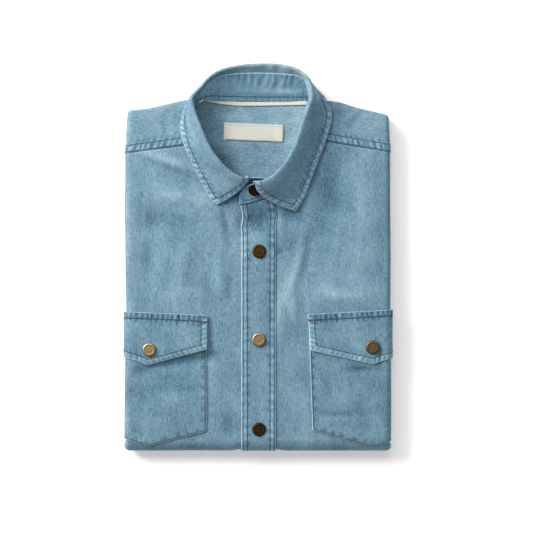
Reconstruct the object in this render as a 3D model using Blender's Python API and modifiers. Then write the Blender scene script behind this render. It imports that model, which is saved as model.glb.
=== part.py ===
"""Denim snap-front shirt, folded for the shelf and lying face up.

The body is folded into a flat strap, sides and sleeves behind, and the strap is bent once at the bottom edge,
so the chest shows on top and the tail lies underneath. The collar is buttoned and stands up behind the neck.
+X is to the right of the shirt as it lies, +Y points to the collar and +Z is up. The origin is at the middle
of the footprint, on the surface that the shirt rests on. Sizes are in millimetres and are scaled to metres
where a point is placed. Right and left are the wearer's, so the right front lies at -X.
"""

import math
from collections import namedtuple

import bmesh
import bpy
from mathutils import Vector

MM = 0.001
MERGE = 0.00001
UP = Vector((0, 0, 1))

# Cloth walls, and the clearance between neighbours at every seam.
BODY_WALL = 1.2
PATCH_WALL = 1.0
STAND_WALL = 1.1
LEAF_WALL = 1.6
GAP = 0.3

# The folded body: a strap with round side folds, bent once round an axis along X.
FOLD_R = 5.2
BEND_R = 5.8
BEND_Y = -183.2
START_Y = 150.0
HEM_Y = 140.0
BEND_STEPS = 6
TOP_MIDDLE_Z = FOLD_R + 2 * BEND_R
BEND_START = START_Y - BEND_Y
BEND_LENGTH = math.pi * (BEND_R + FOLD_R)
HEM = BEND_START + BEND_LENGTH + HEM_Y - BEND_Y

# Lengths along the front at which its straight part has rows, and the placket's and the pockets' own.
STRAIGHT_LENGTHS = (105.0, 150.0, 200.0, 250.0)
PLACKET_LENGTHS = (180.0, 250.0)
POCKET_LENGTHS = (250.0,)

# The tail's underside makes room for the placket, so that both lie flat.
PRESS_DEPTH = PATCH_WALL + GAP
PRESS_FULL = 19.0
PRESS_END = 28.0
PRESS_FROM = 0.05
PRESS_TO = 0.6

# Shoulders: the yoke thins towards a tight fold and its back half lies below its front half.
SHOULDER_DROP = 1.2
SHOULDER_ROUND = 16.0
YOKE_STEP = 2.5
YOKE_LOW_Y = 60.0
YOKE_BACK_ROWS = (6.0, SHOULDER_ROUND, None)
YOKE_WRAP = math.radians(140)
FRONT_WRAP = math.radians(150)
PATCH_WRAP = math.radians(120)

# A front's columns: from its edge on the middle line, then in parts of the way to the yoke's corner.
FRONT_FIRST_US = (GAP / 2, 10.0, PRESS_FULL, PRESS_END)
NECK_PARTS = (0.57, 0.72, 0.84, 0.93, 0.985)
FRONT_OUTER_U = 100.0

# Placket, tape, label and snaps.
PLACKET_RIGHT_X = -16.6
PLACKET_LEFT_X = 17.8
PLACKET_TOP_RIGHT_Y = 51.3
PLACKET_TOP_LEFT_Y = 60.4
TAPE_WIDTH = 4.0
LABEL_SIZE = (59.6, 17.0)
LABEL_MIDDLE = (-4.3, 124.8)
LABEL_TURN = math.radians(-2.4)
SNAP_HEIGHT = 1.9
SNAP_STEPS = 20
COLLAR_SNAP_HEIGHT = 1.4
COLLAR_SNAP_SECTION = 28.2
COLLAR_SNAP_PART = 0.66
COLLAR_SNAP_GAP = 0.8
CapRow = namedtuple("CapRow", "radius height")
SNAP_CAP = (
    CapRow(0.0, 0.78),
    CapRow(3.9, 0.82),
    CapRow(4.7, 1.0),
    CapRow(5.9, 0.94),
    CapRow(6.9, 0.45),
    CapRow(6.9, 0.0),
    CapRow(0.0, 0.0),
)
NECK_CLEAR = 1.2
BACK_NECK_CLEAR = 0.5

# Hidden layers: the solid core of the folded body.
CORE_STEP = BODY_WALL + GAP
CORE_NECK_STEP = YOKE_STEP + BODY_WALL + GAP
CORE_INNER = -5.1
CORE_SIDE_CLEAR = 0.6
CORE_MOST_WIDTH = 131.3
CORE_NECK_END_Y = 48.0
CORE_NECK_RAMP = 12.0
CORE_SHOULDER_CLEAR = 4.0
CORE_SHOULDER_BACKS = (4.6, 3.4)
CORE_HEM_BACKS = (1.8, 3.6, 2.4)
CORE_ACROSS = (0.0, PRESS_FULL, PRESS_END, 61.0, 79.0, 101.6)
CORE_EDGE_X = 131.0
CORE_SIDE_TURNS = (20, 40, 60, 80)
CORE_BEND_STEPS = 3

WidthRow = namedtuple("WidthRow", "along right left")
BODY_WIDTH = (
    WidthRow(0, 130.8, 131.0),
    WidthRow(45, 133.0, 132.4),
    WidthRow(105, 133.6, 132.5),
    WidthRow(150, 133.0, 133.0),
    WidthRow(200, 132.3, 132.7),
    WidthRow(250, 131.7, 132.0),
    WidthRow(BEND_START, 132.7, 132.0),
    WidthRow(BEND_START + BEND_LENGTH / 2, 134.2, 133.5),
    WidthRow(BEND_START + BEND_LENGTH, 132.0, 132.0),
    WidthRow(HEM, 131.6, 131.6),
)

ShoulderRow = namedtuple("ShoulderRow", "x y")
SHOULDER = (
    ShoulderRow(-131, 146.4),
    ShoulderRow(-111, 147.9),
    ShoulderRow(-93, 152.5),
    ShoulderRow(-79, 156.3),
    ShoulderRow(-62, 157.8),
    ShoulderRow(58, 157.2),
    ShoulderRow(70, 156.1),
    ShoulderRow(82, 154.4),
    ShoulderRow(100, 148.8),
    ShoulderRow(112, 145.9),
    ShoulderRow(131, 141.7),
)

# Yoke seam in front, where it leaves the neck and where it reaches the side.
SeamRow = namedtuple("SeamRow", "side neck_x neck_y side_x side_y")
YOKE_SEAM = (
    SeamRow(-1, 72.0, 111.9, 132.0, 104.2),
    SeamRow(1, 67.0, 115.9, 132.0, 105.2),
)

# Back neck tape, from right to left.
TapeRow = namedtuple("TapeRow", "x y")
TAPE = (
    TapeRow(-53.5, 154.0),
    TapeRow(-42, 154.2),
    TapeRow(-19, 153.2),
    TapeRow(10, 153.3),
    TapeRow(45, 153.4),
)

# Pockets and flaps. x is counted outwards from the middle. outer_rise is how much steeper the pointed lower
# edge rises outside its tip. The outer side goes round the side fold.
PatchRow = namedtuple(
    "PatchRow", "name side top_x low_x tip_x top_y outer_top_y low_y tip_y outer_rise"
)
POCKETS = (
    PatchRow("pocket_right", -1, 51.5, 51.2, 110.1, -73.0, -71.0, -174.6, -189.0, 1.2),
    PatchRow("pocket_left", 1, 50.9, 54.3, 112.9, -73.0, -71.0, -173.5, -190.4, 1.0),
)
FLAPS = (
    PatchRow("flap_right", -1, 50.5, 50.8, 110.1, -58.1, -54.6, -92.5, -108.6, 1.4),
    PatchRow("flap_left", 1, 49.4, 52.5, 115.0, -57.4, -52.8, -93.5, -107.6, 1.5),
)

# Lengths up from a pocket's or a flap's lower edge to its first rows, and its columns from inner edge to tip.
PATCH_ROWS = (0.0, 2.6, 5.2, 7.8, 11.0)
PATCH_PARTS = (0.0, 0.25, 0.5, 0.75, 1.0)

SnapRow = namedtuple("SnapRow", "name x y lift")
SNAPS = (
    SnapRow("snap_placket_top", 1.1, 5.7, PATCH_WALL + 2 * GAP),
    SnapRow("snap_placket_middle", 0.9, -82.6, PATCH_WALL + 2 * GAP),
    SnapRow("snap_placket_low", 0.9, -172.2, PATCH_WALL + 2 * GAP),
    SnapRow("snap_flap_right", -108.7, -92.8, 2 * PATCH_WALL + 3 * GAP),
    SnapRow("snap_flap_left", 114.5, -90.2, 2 * PATCH_WALL + 3 * GAP),
)

# Collar sections, from the end that lies below at the front, round the back, to the end that laps over it.
# base: the stand at the neck seam. top: the stand at the leaf seam. roll: the crest of the leaf.
# edge: the leaf's free edge. A section with no roll is stand only.
Section = namedtuple("Section", "base top roll edge")
COLLAR = (
    Section((15, 67.5, 21.4), (13, 78, 29.6), None, None),
    Section((2, 66.5, 21.2), (1, 79.4, 32.1), None, None),
    Section((-10, 66, 21.2), (-9.5, 79.2, 33), (-8, 79.8, 37.8), (-41.5, 52.3, 24.2)),
    Section((-18, 64.5, 21.2), (-15.8, 77.4, 34), (-14.8, 78.6, 39.1), (-46, 55.8, 24.2)),
    Section((-30, 60.8, 21.4), (-25, 80.8, 35.2), (-24, 82.3, 40.4), (-52, 65, 24.2)),
    Section((-44, 67, 21.7), (-36, 89.8, 35.6), (-35, 91.8, 40.7), (-58.5, 77.5, 24.2)),
    Section((-56, 81, 21.8), (-46.9, 103.1, 35.8), (-45.9, 105.3, 40.9), (-66, 92.5, 24.2)),
    Section((-65, 97, 21.8), (-53.9, 118, 35.8), (-53.4, 120.3, 41), (-73, 108.5, 24.2)),
    Section((-70, 113.5, 21.5), (-59.6, 133.1, 35.6), (-59.6, 135.1, 41), (-77, 124, 24.2)),
    Section((-71, 130, 21), (-63.3, 146.9, 35.2), (-64.1, 148.4, 40.9), (-76.5, 140.1, 24)),
    Section((-65.5, 148.5, 20), (-62.7, 157.2, 34.8), (-65.2, 158.5, 40.8), (-68.6, 158.6, 22)),
    Section((-56, 156.6, 19.4), (-54.6, 167.8, 34.6), (-57.3, 167.8, 40.5), (-61.3, 167.2, 10)),
    Section((-46, 158.3, 19.2), (-45.7, 176.1, 35), (-47.2, 179.2, 40.8), (-49.2, 178.6, 4.5)),
    Section((-34, 158.4, 19.2), (-33.8, 181.2, 35.4), (-34.1, 186.4, 41), (-35.3, 184, 3)),
    Section((-14, 158.2, 19.2), (-14, 183.3, 35.6), (-14, 190.3, 41.1), (-14.5, 187.5, 2.5)),
    Section((6, 158, 19.2), (6, 183.4, 35.6), (6, 191.4, 41.2), (6, 188.5, 2.5)),
    Section((26, 157.6, 19.2), (26, 182.5, 35.5), (25.5, 190.2, 41.1), (26, 187, 2.6)),
    Section((40, 157, 19.2), (40, 180.5, 35.2), (39.5, 186, 41), (41, 183.6, 3.2)),
    Section((50, 155.4, 19.3), (47.6, 175.3, 34.9), (48.8, 178.1, 40.9), (52.1, 175.7, 5)),
    Section((58, 150.8, 19.8), (50.1, 166.4, 34.6), (52.9, 167.9, 40.6), (60.7, 166.8, 9.5)),
    Section((63.3, 143.8, 20.4), (50.7, 156.7, 34.8), (53.3, 157.4, 40.8), (67.5, 158.9, 21.8)),
    Section((65.6, 133, 21.2), (46.9, 145.9, 35.3), (49.2, 146.4, 41), (73.6, 145.8, 23.9)),
    Section((65.3, 120, 21.6), (43, 133.1, 35.7), (45, 133.8, 41.1), (72.4, 131.2, 24.2)),
    Section((61.5, 106, 21.8), (39, 119.2, 35.9), (40.7, 120, 41.1), (67.5, 115, 24.3)),
    Section((55.5, 92.5, 21.8), (33.4, 104.9, 36), (34.9, 105.9, 41.1), (60.5, 97, 24.3)),
    Section((46, 79, 21.9), (25.8, 91.4, 36), (26.9, 92.6, 41), (53.5, 77.5, 24.3)),
    Section((33, 68.5, 22.2), (13.7, 79, 35.8), (14.7, 80.1, 40.9), (47.5, 62, 24.3)),
    Section((18, 61.8, 22.8), (2.6, 73.9, 35.6), (3.4, 74.9, 40.7), (42, 51.5, 24.3)),
    Section((6, 58.6, 23), (-4.3, 73.2, 33.7), (-4.6, 74.3, 38.4), (38.3, 46, 24.3)),
    Section((-7, 54.6, 23), (-13, 70, 30.3), None, None),
    Section((-18.6, 52.4, 23), (-18.4, 62, 26.6), None, None),
)
LEAF_FIRST = 2
LEAF_LAST = len(COLLAR) - 3

# Stretches of the neck seam, counted in sections, and the points read along each.
RIGHT_SPAN = (1.0, 10.4)
LEFT_SPAN = (29.0, 19.6)
BACK_SPAN = (10.4, 19.6)
NECK_STEPS = 60

# How the leaf's rounded front edges swing towards their points.
LEAF_HOOKS = {LEAF_FIRST: Vector((4, -4.3, 0)), LEAF_LAST: Vector((-7.6, -6.6, 0))}
LEAF_START_REACH = 10.0
LEAF_SEAM_GAP = 0.8
LEAF_RISE = 1.7

# The leaf's fall from its roll: how full it is near the roll and how it flattens to its edge.
LEAF_ROLL_REACH = 2.4
LEAF_ROLL_PART = 0.10
LEAF_EDGE_PART = 0.45
LEAF_EDGE_DROP = 0.16

FINISHES = {
    "denim": ((0.28, 0.43, 0.53, 1), 0.9, 0.0),
    "cream_tape": ((0.82, 0.80, 0.72, 1), 0.8, 0.0),
    "cream_label": ((0.84, 0.83, 0.78, 1), 0.7, 0.0),
    "antique_brass": ((0.36, 0.24, 0.12, 1), 0.38, 1.0),
}


def clear_scene():
    for item in list(bpy.data.objects):
        bpy.data.objects.remove(item, do_unlink=True)


def finish(name, slot):
    """A Principled material for one piece."""
    colour, roughness, metallic = FINISHES[slot]
    material = bpy.data.materials.new(f"{name}_{slot}")
    material.use_nodes = True
    shader = material.node_tree.nodes["Principled BSDF"]
    shader.inputs["Base Color"].default_value = colour
    shader.inputs["Roughness"].default_value = roughness
    shader.inputs["Metallic"].default_value = metallic
    return material


def add_piece(name, bm, slot, collection):
    mesh = bpy.data.meshes.new(name)
    bm.to_mesh(mesh)
    bm.free()
    mesh.materials.append(finish(name, slot))
    piece = bpy.data.objects.new(name, mesh)
    collection.objects.link(piece)
    return piece


def sheet(name, columns, rows, place, wall, slot, collection, skip=None):
    """A piece of cloth: a grid laid out by place(column, row) on its middle surface, then given its wall."""
    bm = bmesh.new()
    bmesh.ops.create_grid(bm, x_segments=columns, y_segments=rows, size=0.5)
    if skip:
        cut = [face for face in bm.faces if skip(*cell(face.calc_center_median(), columns, rows))]
        bmesh.ops.delete(bm, geom=cut, context="FACES")
    for vert in bm.verts:
        column, row = cell(vert.co, columns, rows)
        vert.co = Vector(place(round(column), round(row))) * MM
    piece = add_piece(name, bm, slot, collection)
    solid = piece.modifiers.new("wall", "SOLIDIFY")
    solid.thickness = wall * MM
    solid.offset = 0
    solid.use_even_offset = True
    return piece


def cell(point, columns, rows):
    return (point.x + 0.5) * columns, (point.y + 0.5) * rows


def mix(a, b, t):
    return a + (b - a) * t


def ease(t):
    t = min(max(t, 0.0), 1.0)
    return t * t * (3 - 2 * t)


def read_table(rows, column, value, by):
    """Straight-line reading of one column of a table at a value of another."""
    low = rows[0]
    for high in rows[1:]:
        if value <= getattr(high, by):
            break
        low = high
    start, end = getattr(low, by), getattr(high, by)
    t = min(max((value - start) / (end - start), 0.0), 1.0) if end != start else 1.0
    return mix(getattr(low, column), getattr(high, column), t)


def along(y):
    """Length along the front's skin from START_Y to a place seen from above at y."""
    if y >= BEND_Y:
        return START_Y - y
    turn = math.asin(min((BEND_Y - y) / (BEND_R + FOLD_R), 1.0))
    return BEND_START + turn * (BEND_R + FOLD_R)


def spine(v):
    """Middle of the strap at a length v: y, z, and the outward direction there."""
    if v <= BEND_START:
        return START_Y - v, TOP_MIDDLE_Z, 0.0, 1.0
    if v >= BEND_START + BEND_LENGTH:
        return BEND_Y + v - BEND_START - BEND_LENGTH, FOLD_R, 0.0, -1.0
    turn = (v - BEND_START) / (BEND_R + FOLD_R)
    out_y, out_z = -math.sin(turn), math.cos(turn)
    return BEND_Y + BEND_R * out_y, FOLD_R + BEND_R + BEND_R * out_z, out_y, out_z


def half_width(u, v):
    """Half the strap's width, as far as the middle of its round side fold."""
    return read_table(BODY_WIDTH, "left" if u > 0 else "right", v, "along") - FOLD_R


def press(u, v):
    """How far the underside makes room for the placket."""
    round_bend = ease(((v - BEND_START) / BEND_LENGTH - PRESS_FROM) / (PRESS_TO - PRESS_FROM))
    return PRESS_DEPTH * round_bend * ease((PRESS_END - abs(u)) / (PRESS_END - PRESS_FULL))


def strap_point(x, h, v):
    y, z, out_y, out_z = spine(v)
    return x, y + h * out_y, z + h * out_z


def body_point(u, v, lift):
    """A point of the cloth: u across from the middle line, v along the front, lift outwards from the skin."""
    side = 1 if u > 0 else -1
    flat = half_width(u, v)
    turn = max(abs(u) - flat, 0.0) / FOLD_R
    radius = FOLD_R + lift - press(u, v)
    if turn == 0:
        return strap_point(u, radius, v)
    return strap_point(side * (flat + radius * math.sin(turn)), radius * math.cos(turn), v)


def section_curve(column, t):
    """Smooth curve through one column of the collar sections; t counts sections."""
    first = LEAF_FIRST if column in ("roll", "edge") else 0
    last = LEAF_LAST if column in ("roll", "edge") else len(COLLAR) - 1
    i = min(max(int(t), first), last - 1)
    f = t - i
    a, b, c, d = (
        Vector(getattr(COLLAR[min(max(k, first), last)], column)) for k in (i - 1, i, i + 1, i + 2)
    )
    return 0.5 * (2 * b + (c - a) * f + (2 * a - 5 * b + 4 * c - d) * f**2 + (3 * b - a - 3 * c + d) * f**3)


def outward(column, t):
    """Level direction away from the neck's middle, square to a column of the collar sections."""
    step = 0.05
    run = section_curve(column, t + step) - section_curve(column, t - step)
    return Vector((-run.y, run.x, 0)).normalized()


def bezier(a, b, c, d, t):
    s = 1 - t
    return a * s**3 + b * (3 * s * s * t) + c * (3 * s * t * t) + d * t**3


def neck_edge(span, clear):
    """The body's neck edge as seen from above, clear of the stand's base on its outer side."""
    points = []
    for k in range(NECK_STEPS + 1):
        t = mix(span[0], span[1], k / NECK_STEPS)
        points.append(section_curve("base", t) + outward("base", t) * clear)
    return points


def cross_at_x(points, x):
    """The y at which a line of points passes x."""
    for a, b in zip(points, points[1:]):
        if min(a.x, b.x) <= x <= max(a.x, b.x) and a.x != b.x:
            return mix(a.y, b.y, (x - a.x) / (b.x - a.x))
    return points[-1].y


def cross_at_y(points, y):
    """The x at which a line of points passes y."""
    for a, b in zip(points, points[1:]):
        if min(a.y, b.y) <= y <= max(a.y, b.y) and a.y != b.y:
            return mix(a.x, b.x, (y - a.y) / (b.y - a.y))
    return points[-1].x


RIGHT_NECK = neck_edge(RIGHT_SPAN, NECK_CLEAR)
LEFT_NECK = neck_edge(LEFT_SPAN, NECK_CLEAR)
BACK_NECK = neck_edge(BACK_SPAN, -BACK_NECK_CLEAR)


def side_seam_y(row, u):
    """Height of the yoke seam at a distance u from the middle line."""
    slope = (row.side_y - row.neck_y) / (row.side_x - row.neck_x)
    return row.neck_y + slope * (abs(u) - row.neck_x)


def fold_turns(wrap, steps):
    """Turns round the side fold, in equal steps from none to the full wrap."""
    return [wrap * k / steps for k in range(1, steps + 1)]


def across_fold(side, flat_us, wrap, steps):
    """Columns of a piece that ends round the side fold: functions of v that give u."""
    columns = [lambda v, u=u: side * u for u in flat_us]
    columns.append(lambda v: side * abs(half_width(side, v)))
    for turn in fold_turns(wrap, steps):
        columns.append(lambda v, turn=turn: side * (half_width(side, v) + turn * FOLD_R))
    return columns


def front_panel(name, seam, neck, collection):
    """One front: from the neck edge and the yoke seam, round the bottom fold, to the hem underneath."""
    side = seam.side
    corner = abs(cross_at_y(neck, seam.neck_y))
    us = list(FRONT_FIRST_US) + [corner * part for part in NECK_PARTS] + [corner + NECK_CLEAR, FRONT_OUTER_U]
    columns = across_fold(side, us, FRONT_WRAP, 5)
    lengths = list(STRAIGHT_LENGTHS)
    lengths += [BEND_START + BEND_LENGTH * k / BEND_STEPS for k in range(BEND_STEPS + 1)] + [HEM]
    top_rows = 3

    def top_length(u):
        if abs(u) < corner:
            return along(cross_at_x(neck, u))
        return along(side_seam_y(seam, u) - GAP)

    def place(column, row):
        row = top_rows + len(lengths) - 1 - row
        if row >= top_rows:
            v = lengths[row - top_rows]
            return body_point(columns[column](v), v, -BODY_WALL / 2)
        top = top_length(columns[column](START_Y - seam.side_y))
        v = mix(top, lengths[0], row / top_rows)
        return body_point(columns[column](v), v, -BODY_WALL / 2)

    rows = top_rows + len(lengths) - 1
    sheet(name, len(columns) - 1, rows, place, BODY_WALL, "denim", collection)


def shoulder_drop(u, v):
    """The shoulder thins towards its fold."""
    reach = (v - along(read_table(SHOULDER, "y", u, "x"))) / SHOULDER_ROUND
    if reach >= 1:
        return 0.0
    return SHOULDER_DROP * (1 - math.sqrt(max(1 - (1 - max(reach, 0.0)) ** 2, 0.0)))


def yoke(collection):
    """One piece: in front of the shoulders, over a tight fold, and down inside the neck."""
    lip = YOKE_STEP / 2
    front_rows, lip_steps, back_rows = 5, 4, len(YOKE_BACK_ROWS)
    flat_steps, neck_steps, fold_steps = 3, 8, 4
    outer = fold_steps + flat_steps
    columns = 2 * outer + neck_steps
    turns = [0.0] + fold_turns(YOKE_WRAP, fold_steps)

    def neck_u(side, y):
        return cross_at_y(RIGHT_NECK if side < 0 else LEFT_NECK, y)

    def u_at(column, v):
        side = -1 if column <= columns // 2 else 1
        steps_in = column if side < 0 else columns - column
        flat = side * half_width(side, v)
        if steps_in <= fold_steps:
            return flat + side * turns[fold_steps - steps_in] * FOLD_R
        if steps_in < outer:
            return mix(flat, neck_u(side, START_Y - v), (steps_in - fold_steps) / flat_steps)
        return mix(neck_u(-1, START_Y - v), neck_u(1, START_Y - v), (column - outer) / neck_steps)

    def place(column, row):
        seam = YOKE_SEAM[0 if column <= columns // 2 else 1]
        fold_y = read_table(SHOULDER, "y", u_at(column, 0.0), "x")
        fold_v = START_Y - fold_y + lip
        if row < front_rows:
            seam_v = START_Y - side_seam_y(seam, u_at(column, START_Y - seam.side_y))
            v = mix(seam_v, fold_v, row / front_rows)
            return lay(u_at(column, v), v, 0.0)
        if row <= front_rows + lip_steps:
            turn = math.pi * (row - front_rows) / lip_steps
            v = fold_v - lip * math.sin(turn)
            if row == front_rows + lip_steps and outer <= column <= columns - outer:
                v = START_Y - cross_at_x(BACK_NECK, u_at(column, v))
            return lay(u_at(column, v), v, lip * (1 - math.cos(turn)))
        reach = YOKE_BACK_ROWS[row - front_rows - lip_steps - 1]
        v = START_Y - YOKE_LOW_Y if reach is None else fold_v + reach
        return lay(u_at(column, fold_v), v, YOKE_STEP)

    def lay(u, v, depth):
        return body_point(u, v, -shoulder_drop(u, v) - depth - BODY_WALL / 2)

    def skip(column, row):
        if row > front_rows + lip_steps:
            return column < fold_steps or column > columns - fold_steps
        return outer < column < columns - outer

    rows = front_rows + lip_steps + back_rows
    sheet("yoke", columns, rows, place, BODY_WALL, "denim", collection, skip)


def stand_spot(t, part):
    """A place on the middle of the stand's cloth and the upward direction square to it."""
    step = 0.5
    before, after = (
        mix(section_curve("base", k), section_curve("top", k), part) for k in (t - step, t + step)
    )
    rise = section_curve("top", t) - section_curve("base", t)
    normal = (after - before).cross(rise).normalized()
    if normal.z < 0:
        normal.negate()
    return mix(section_curve("base", t), section_curve("top", t), part), normal


def collar_stand(collection):
    """A strip from the neck seam to the leaf seam, lapping over itself at the front."""
    columns, rows = 2 * (len(COLLAR) - 1), 2

    def place(column, row):
        t = column / 2
        return mix(section_curve("base", t), section_curve("top", t), row / rows)

    sheet("collar_stand", columns, rows, place, STAND_WALL, "denim", collection)


def leaf_point(t, reach):
    """The leaf's section: reach 0 to 1 from the seam up to the crest, 1 to 2 down to the free edge."""
    base, seam = section_curve("base", t), section_curve("top", t)
    roll, edge = section_curve("roll", t), section_curve("edge", t)
    out = outward("roll", t)
    rise = (seam - base).normalized()
    if reach <= 1:
        start = seam + rise * LEAF_SEAM_GAP
        return bezier(start, start + rise * LEAF_RISE, roll - out * LEAF_RISE, roll, reach)
    fall = edge - roll
    level = Vector((fall.x, fall.y, 0))
    first = roll + out * (LEAF_ROLL_REACH + LEAF_ROLL_PART * level.length)
    second = edge - LEAF_EDGE_PART * level - Vector((0, 0, LEAF_EDGE_DROP * fall.z))
    for end, hook in LEAF_HOOKS.items():
        weight = max(1 - abs(t - end), 0.0) ** 2
        first = mix(first, roll + out * LEAF_START_REACH, weight)
        second = second + hook * weight
    return bezier(roll, first, second, edge, reach - 1)


def collar_leaf(collection):
    """The turned-down collar, from the leaf seam over the roll to its two points."""
    columns = 2 * (LEAF_LAST - LEAF_FIRST)
    rise_rows, fall_rows = 3, 6

    def place(column, row):
        reach = row / rise_rows if row <= rise_rows else 1 + (row - rise_rows) / fall_rows
        return leaf_point(LEAF_FIRST + column / 2, reach)

    sheet("collar_leaf", columns, rise_rows + fall_rows, place, LEAF_WALL, "denim", collection)


def placket(collection):
    """The strip on the left front's edge, from the neck round the bottom fold to the hem."""
    us = (PLACKET_RIGHT_X, 0.0, PLACKET_LEFT_X)
    tops = (PLACKET_TOP_RIGHT_Y, (PLACKET_TOP_RIGHT_Y + PLACKET_TOP_LEFT_Y) / 2, PLACKET_TOP_LEFT_Y)
    lengths = list(PLACKET_LENGTHS)
    lengths += [BEND_START + BEND_LENGTH * k / (2 * BEND_STEPS) for k in range(2 * BEND_STEPS + 1)]
    lengths.append(HEM)

    def place(column, row):
        v = lengths[-1 - row] if row < len(lengths) else along(tops[column])
        return body_point(us[column], v, GAP + PATCH_WALL / 2)

    sheet("placket", len(us) - 1, len(lengths), place, PATCH_WALL, "denim", collection)


def patch(shape, lift, lengths, collection):
    """A pocket or a flap, with a pointed lower edge, its outer side round the side fold."""
    outer_u = (shape.tip_x + half_width(shape.side, along(shape.tip_y))) / 2

    def columns_at(v):
        t = (v - along(shape.top_y)) / (along(shape.low_y) - along(shape.top_y))
        inner = mix(shape.top_x, shape.low_x, min(max(t, 0.0), 1.0))
        flat = [mix(inner, shape.tip_x, part) for part in PATCH_PARTS] + [outer_u]
        return across_fold(shape.side, flat, PATCH_WRAP, 4)

    def low_length(u):
        out = abs(abs(u) - shape.tip_x) / (shape.tip_x - shape.low_x)
        rise = shape.outer_rise if abs(u) > shape.tip_x else 1.0
        return along(mix(shape.tip_y, shape.low_y, out * rise))

    def top_length(u):
        out = (abs(u) - shape.top_x) / (half_width(u, along(shape.top_y)) - shape.top_x)
        return along(mix(shape.top_y, shape.outer_top_y, out))

    def place(column, row):
        guess = columns_at(along(shape.low_y))[column](along(shape.low_y))
        low, top = low_length(guess), top_length(guess)
        v = ([low - reach for reach in PATCH_ROWS] + list(lengths) + [top])[row]
        return body_point(columns_at(v)[column](v), v, lift + PATCH_WALL / 2)

    columns, rows = len(PATCH_PARTS) + 5, len(PATCH_ROWS) + len(lengths)
    sheet(shape.name, columns, rows, place, PATCH_WALL, "denim", collection)


def neck_tape(collection):
    """Cream tape sewn over the back neck seam, on the inside of the yoke."""
    columns = 14

    def place(column, row):
        x = mix(TAPE[0].x, TAPE[-1].x, column / columns)
        y = read_table(TAPE, "y", x, "x") + TAPE_WIDTH * (row - 0.5)
        v = START_Y - y
        return body_point(x, v, -shoulder_drop(x, v) - YOKE_STEP + GAP + PATCH_WALL / 2)

    sheet("neck_tape", columns, 1, place, PATCH_WALL, "cream_tape", collection)


def neck_label(collection):
    """A bare woven label on the inside of the yoke."""
    width, height = LABEL_SIZE
    z = TOP_MIDDLE_Z + FOLD_R - YOKE_STEP + GAP + PATCH_WALL / 2

    def place(column, row):
        a, b = width * (column / 4 - 0.5), height * (row - 0.5)
        x = LABEL_MIDDLE[0] + a * math.cos(LABEL_TURN) - b * math.sin(LABEL_TURN)
        y = LABEL_MIDDLE[1] + a * math.sin(LABEL_TURN) + b * math.cos(LABEL_TURN)
        return x, y, z

    sheet("neck_label", 4, 1, place, PATCH_WALL, "cream_label", collection)


def snap_cap(name, centre, height, normal, collection):
    """A turned ring cap: a raised rim round a slightly lower middle, square to the cloth it lies on."""
    bm = bmesh.new()
    verts = [bm.verts.new(Vector((row.radius, 0, row.height * height)) * MM) for row in SNAP_CAP]
    for a, b in zip(verts, verts[1:]):
        bm.edges.new((a, b))
    cap = add_piece(name, bm, "antique_brass", collection)
    cap.location = Vector(centre) * MM
    cap.rotation_euler = UP.rotation_difference(normal).to_euler()
    turned = cap.modifiers.new("turned", "SCREW")
    turned.steps = SNAP_STEPS
    turned.render_steps = SNAP_STEPS
    turned.use_merge_vertices = True
    turned.merge_threshold = MERGE


def snaps(collection):
    for row in SNAPS:
        centre = body_point(row.x, along(row.y), row.lift)
        snap_cap(row.name, centre, SNAP_HEIGHT, UP, collection)
    place, normal = stand_spot(COLLAR_SNAP_SECTION, COLLAR_SNAP_PART)
    centre = place + normal * (STAND_WALL / 2 + COLLAR_SNAP_GAP)
    snap_cap("snap_collar", centre, COLLAR_SNAP_HEIGHT, normal, collection)


def lobes(top, bottom, backs):
    """Rounded edges of stacked layers at an end: (back, height) pairs from the top one to the bottom one."""
    thick = (top - bottom) / len(backs)
    points = []
    for k, back in enumerate(backs):
        middle = top - (k + 0.5) * thick
        for turn in (-0.5, -0.25, 0, 0.25, 0.5):
            reach = 0.5 * thick * math.cos(math.pi * turn)
            points.append((back - reach, middle - 0.49 * thick * math.sin(math.pi * turn)))
    return points


def core_outline(x):
    """The hidden layers' outline in the strap at one x, once round: (length, height) pairs."""
    top, neck_top = FOLD_R - CORE_STEP, FOLD_R - CORE_NECK_STEP
    shoulder_v = START_Y - read_table(SHOULDER, "y", x, "x")
    shoulder = lobes(neck_top - SHOULDER_DROP, CORE_INNER, CORE_SHOULDER_BACKS)
    hem = lobes(top, CORE_INNER, CORE_HEM_BACKS)
    neck_end = START_Y - CORE_NECK_END_Y
    points = [(shoulder_v + back, h) for back, h in reversed(shoulder)]
    points.append((shoulder_v + SHOULDER_ROUND + CORE_SHOULDER_CLEAR, neck_top))
    points += [(neck_end - CORE_NECK_RAMP, neck_top), (neck_end, top)]
    points += [(length, top) for length in STRAIGHT_LENGTHS[1:]]
    points += [(BEND_START + BEND_LENGTH * k / BEND_STEPS, top) for k in range(BEND_STEPS + 1)]
    points += [(HEM - back, h) for back, h in hem]
    steps = reversed(range(CORE_BEND_STEPS + 1))
    points += [(BEND_START + BEND_LENGTH * k / CORE_BEND_STEPS, CORE_INNER) for k in steps]
    points += [(length, CORE_INNER) for length in reversed(STRAIGHT_LENGTHS[1:])]
    return points


def core_stations():
    """Columns across the core: (side, distance from the middle or None at the side fold, turn round it)."""
    half = [(x, 0.0) for x in CORE_ACROSS] + [(None, 0.0)]
    half += [(None, math.radians(turn)) for turn in CORE_SIDE_TURNS]
    right = [(-1, x, turn) for x, turn in reversed(half[1:])]
    return right + [(1, x, turn) for x, turn in half]


def core_half_width(side, v):
    """As half_width, but no wider than the body at its narrowest."""
    return min(half_width(side, v), CORE_MOST_WIDTH - FOLD_R)


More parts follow.
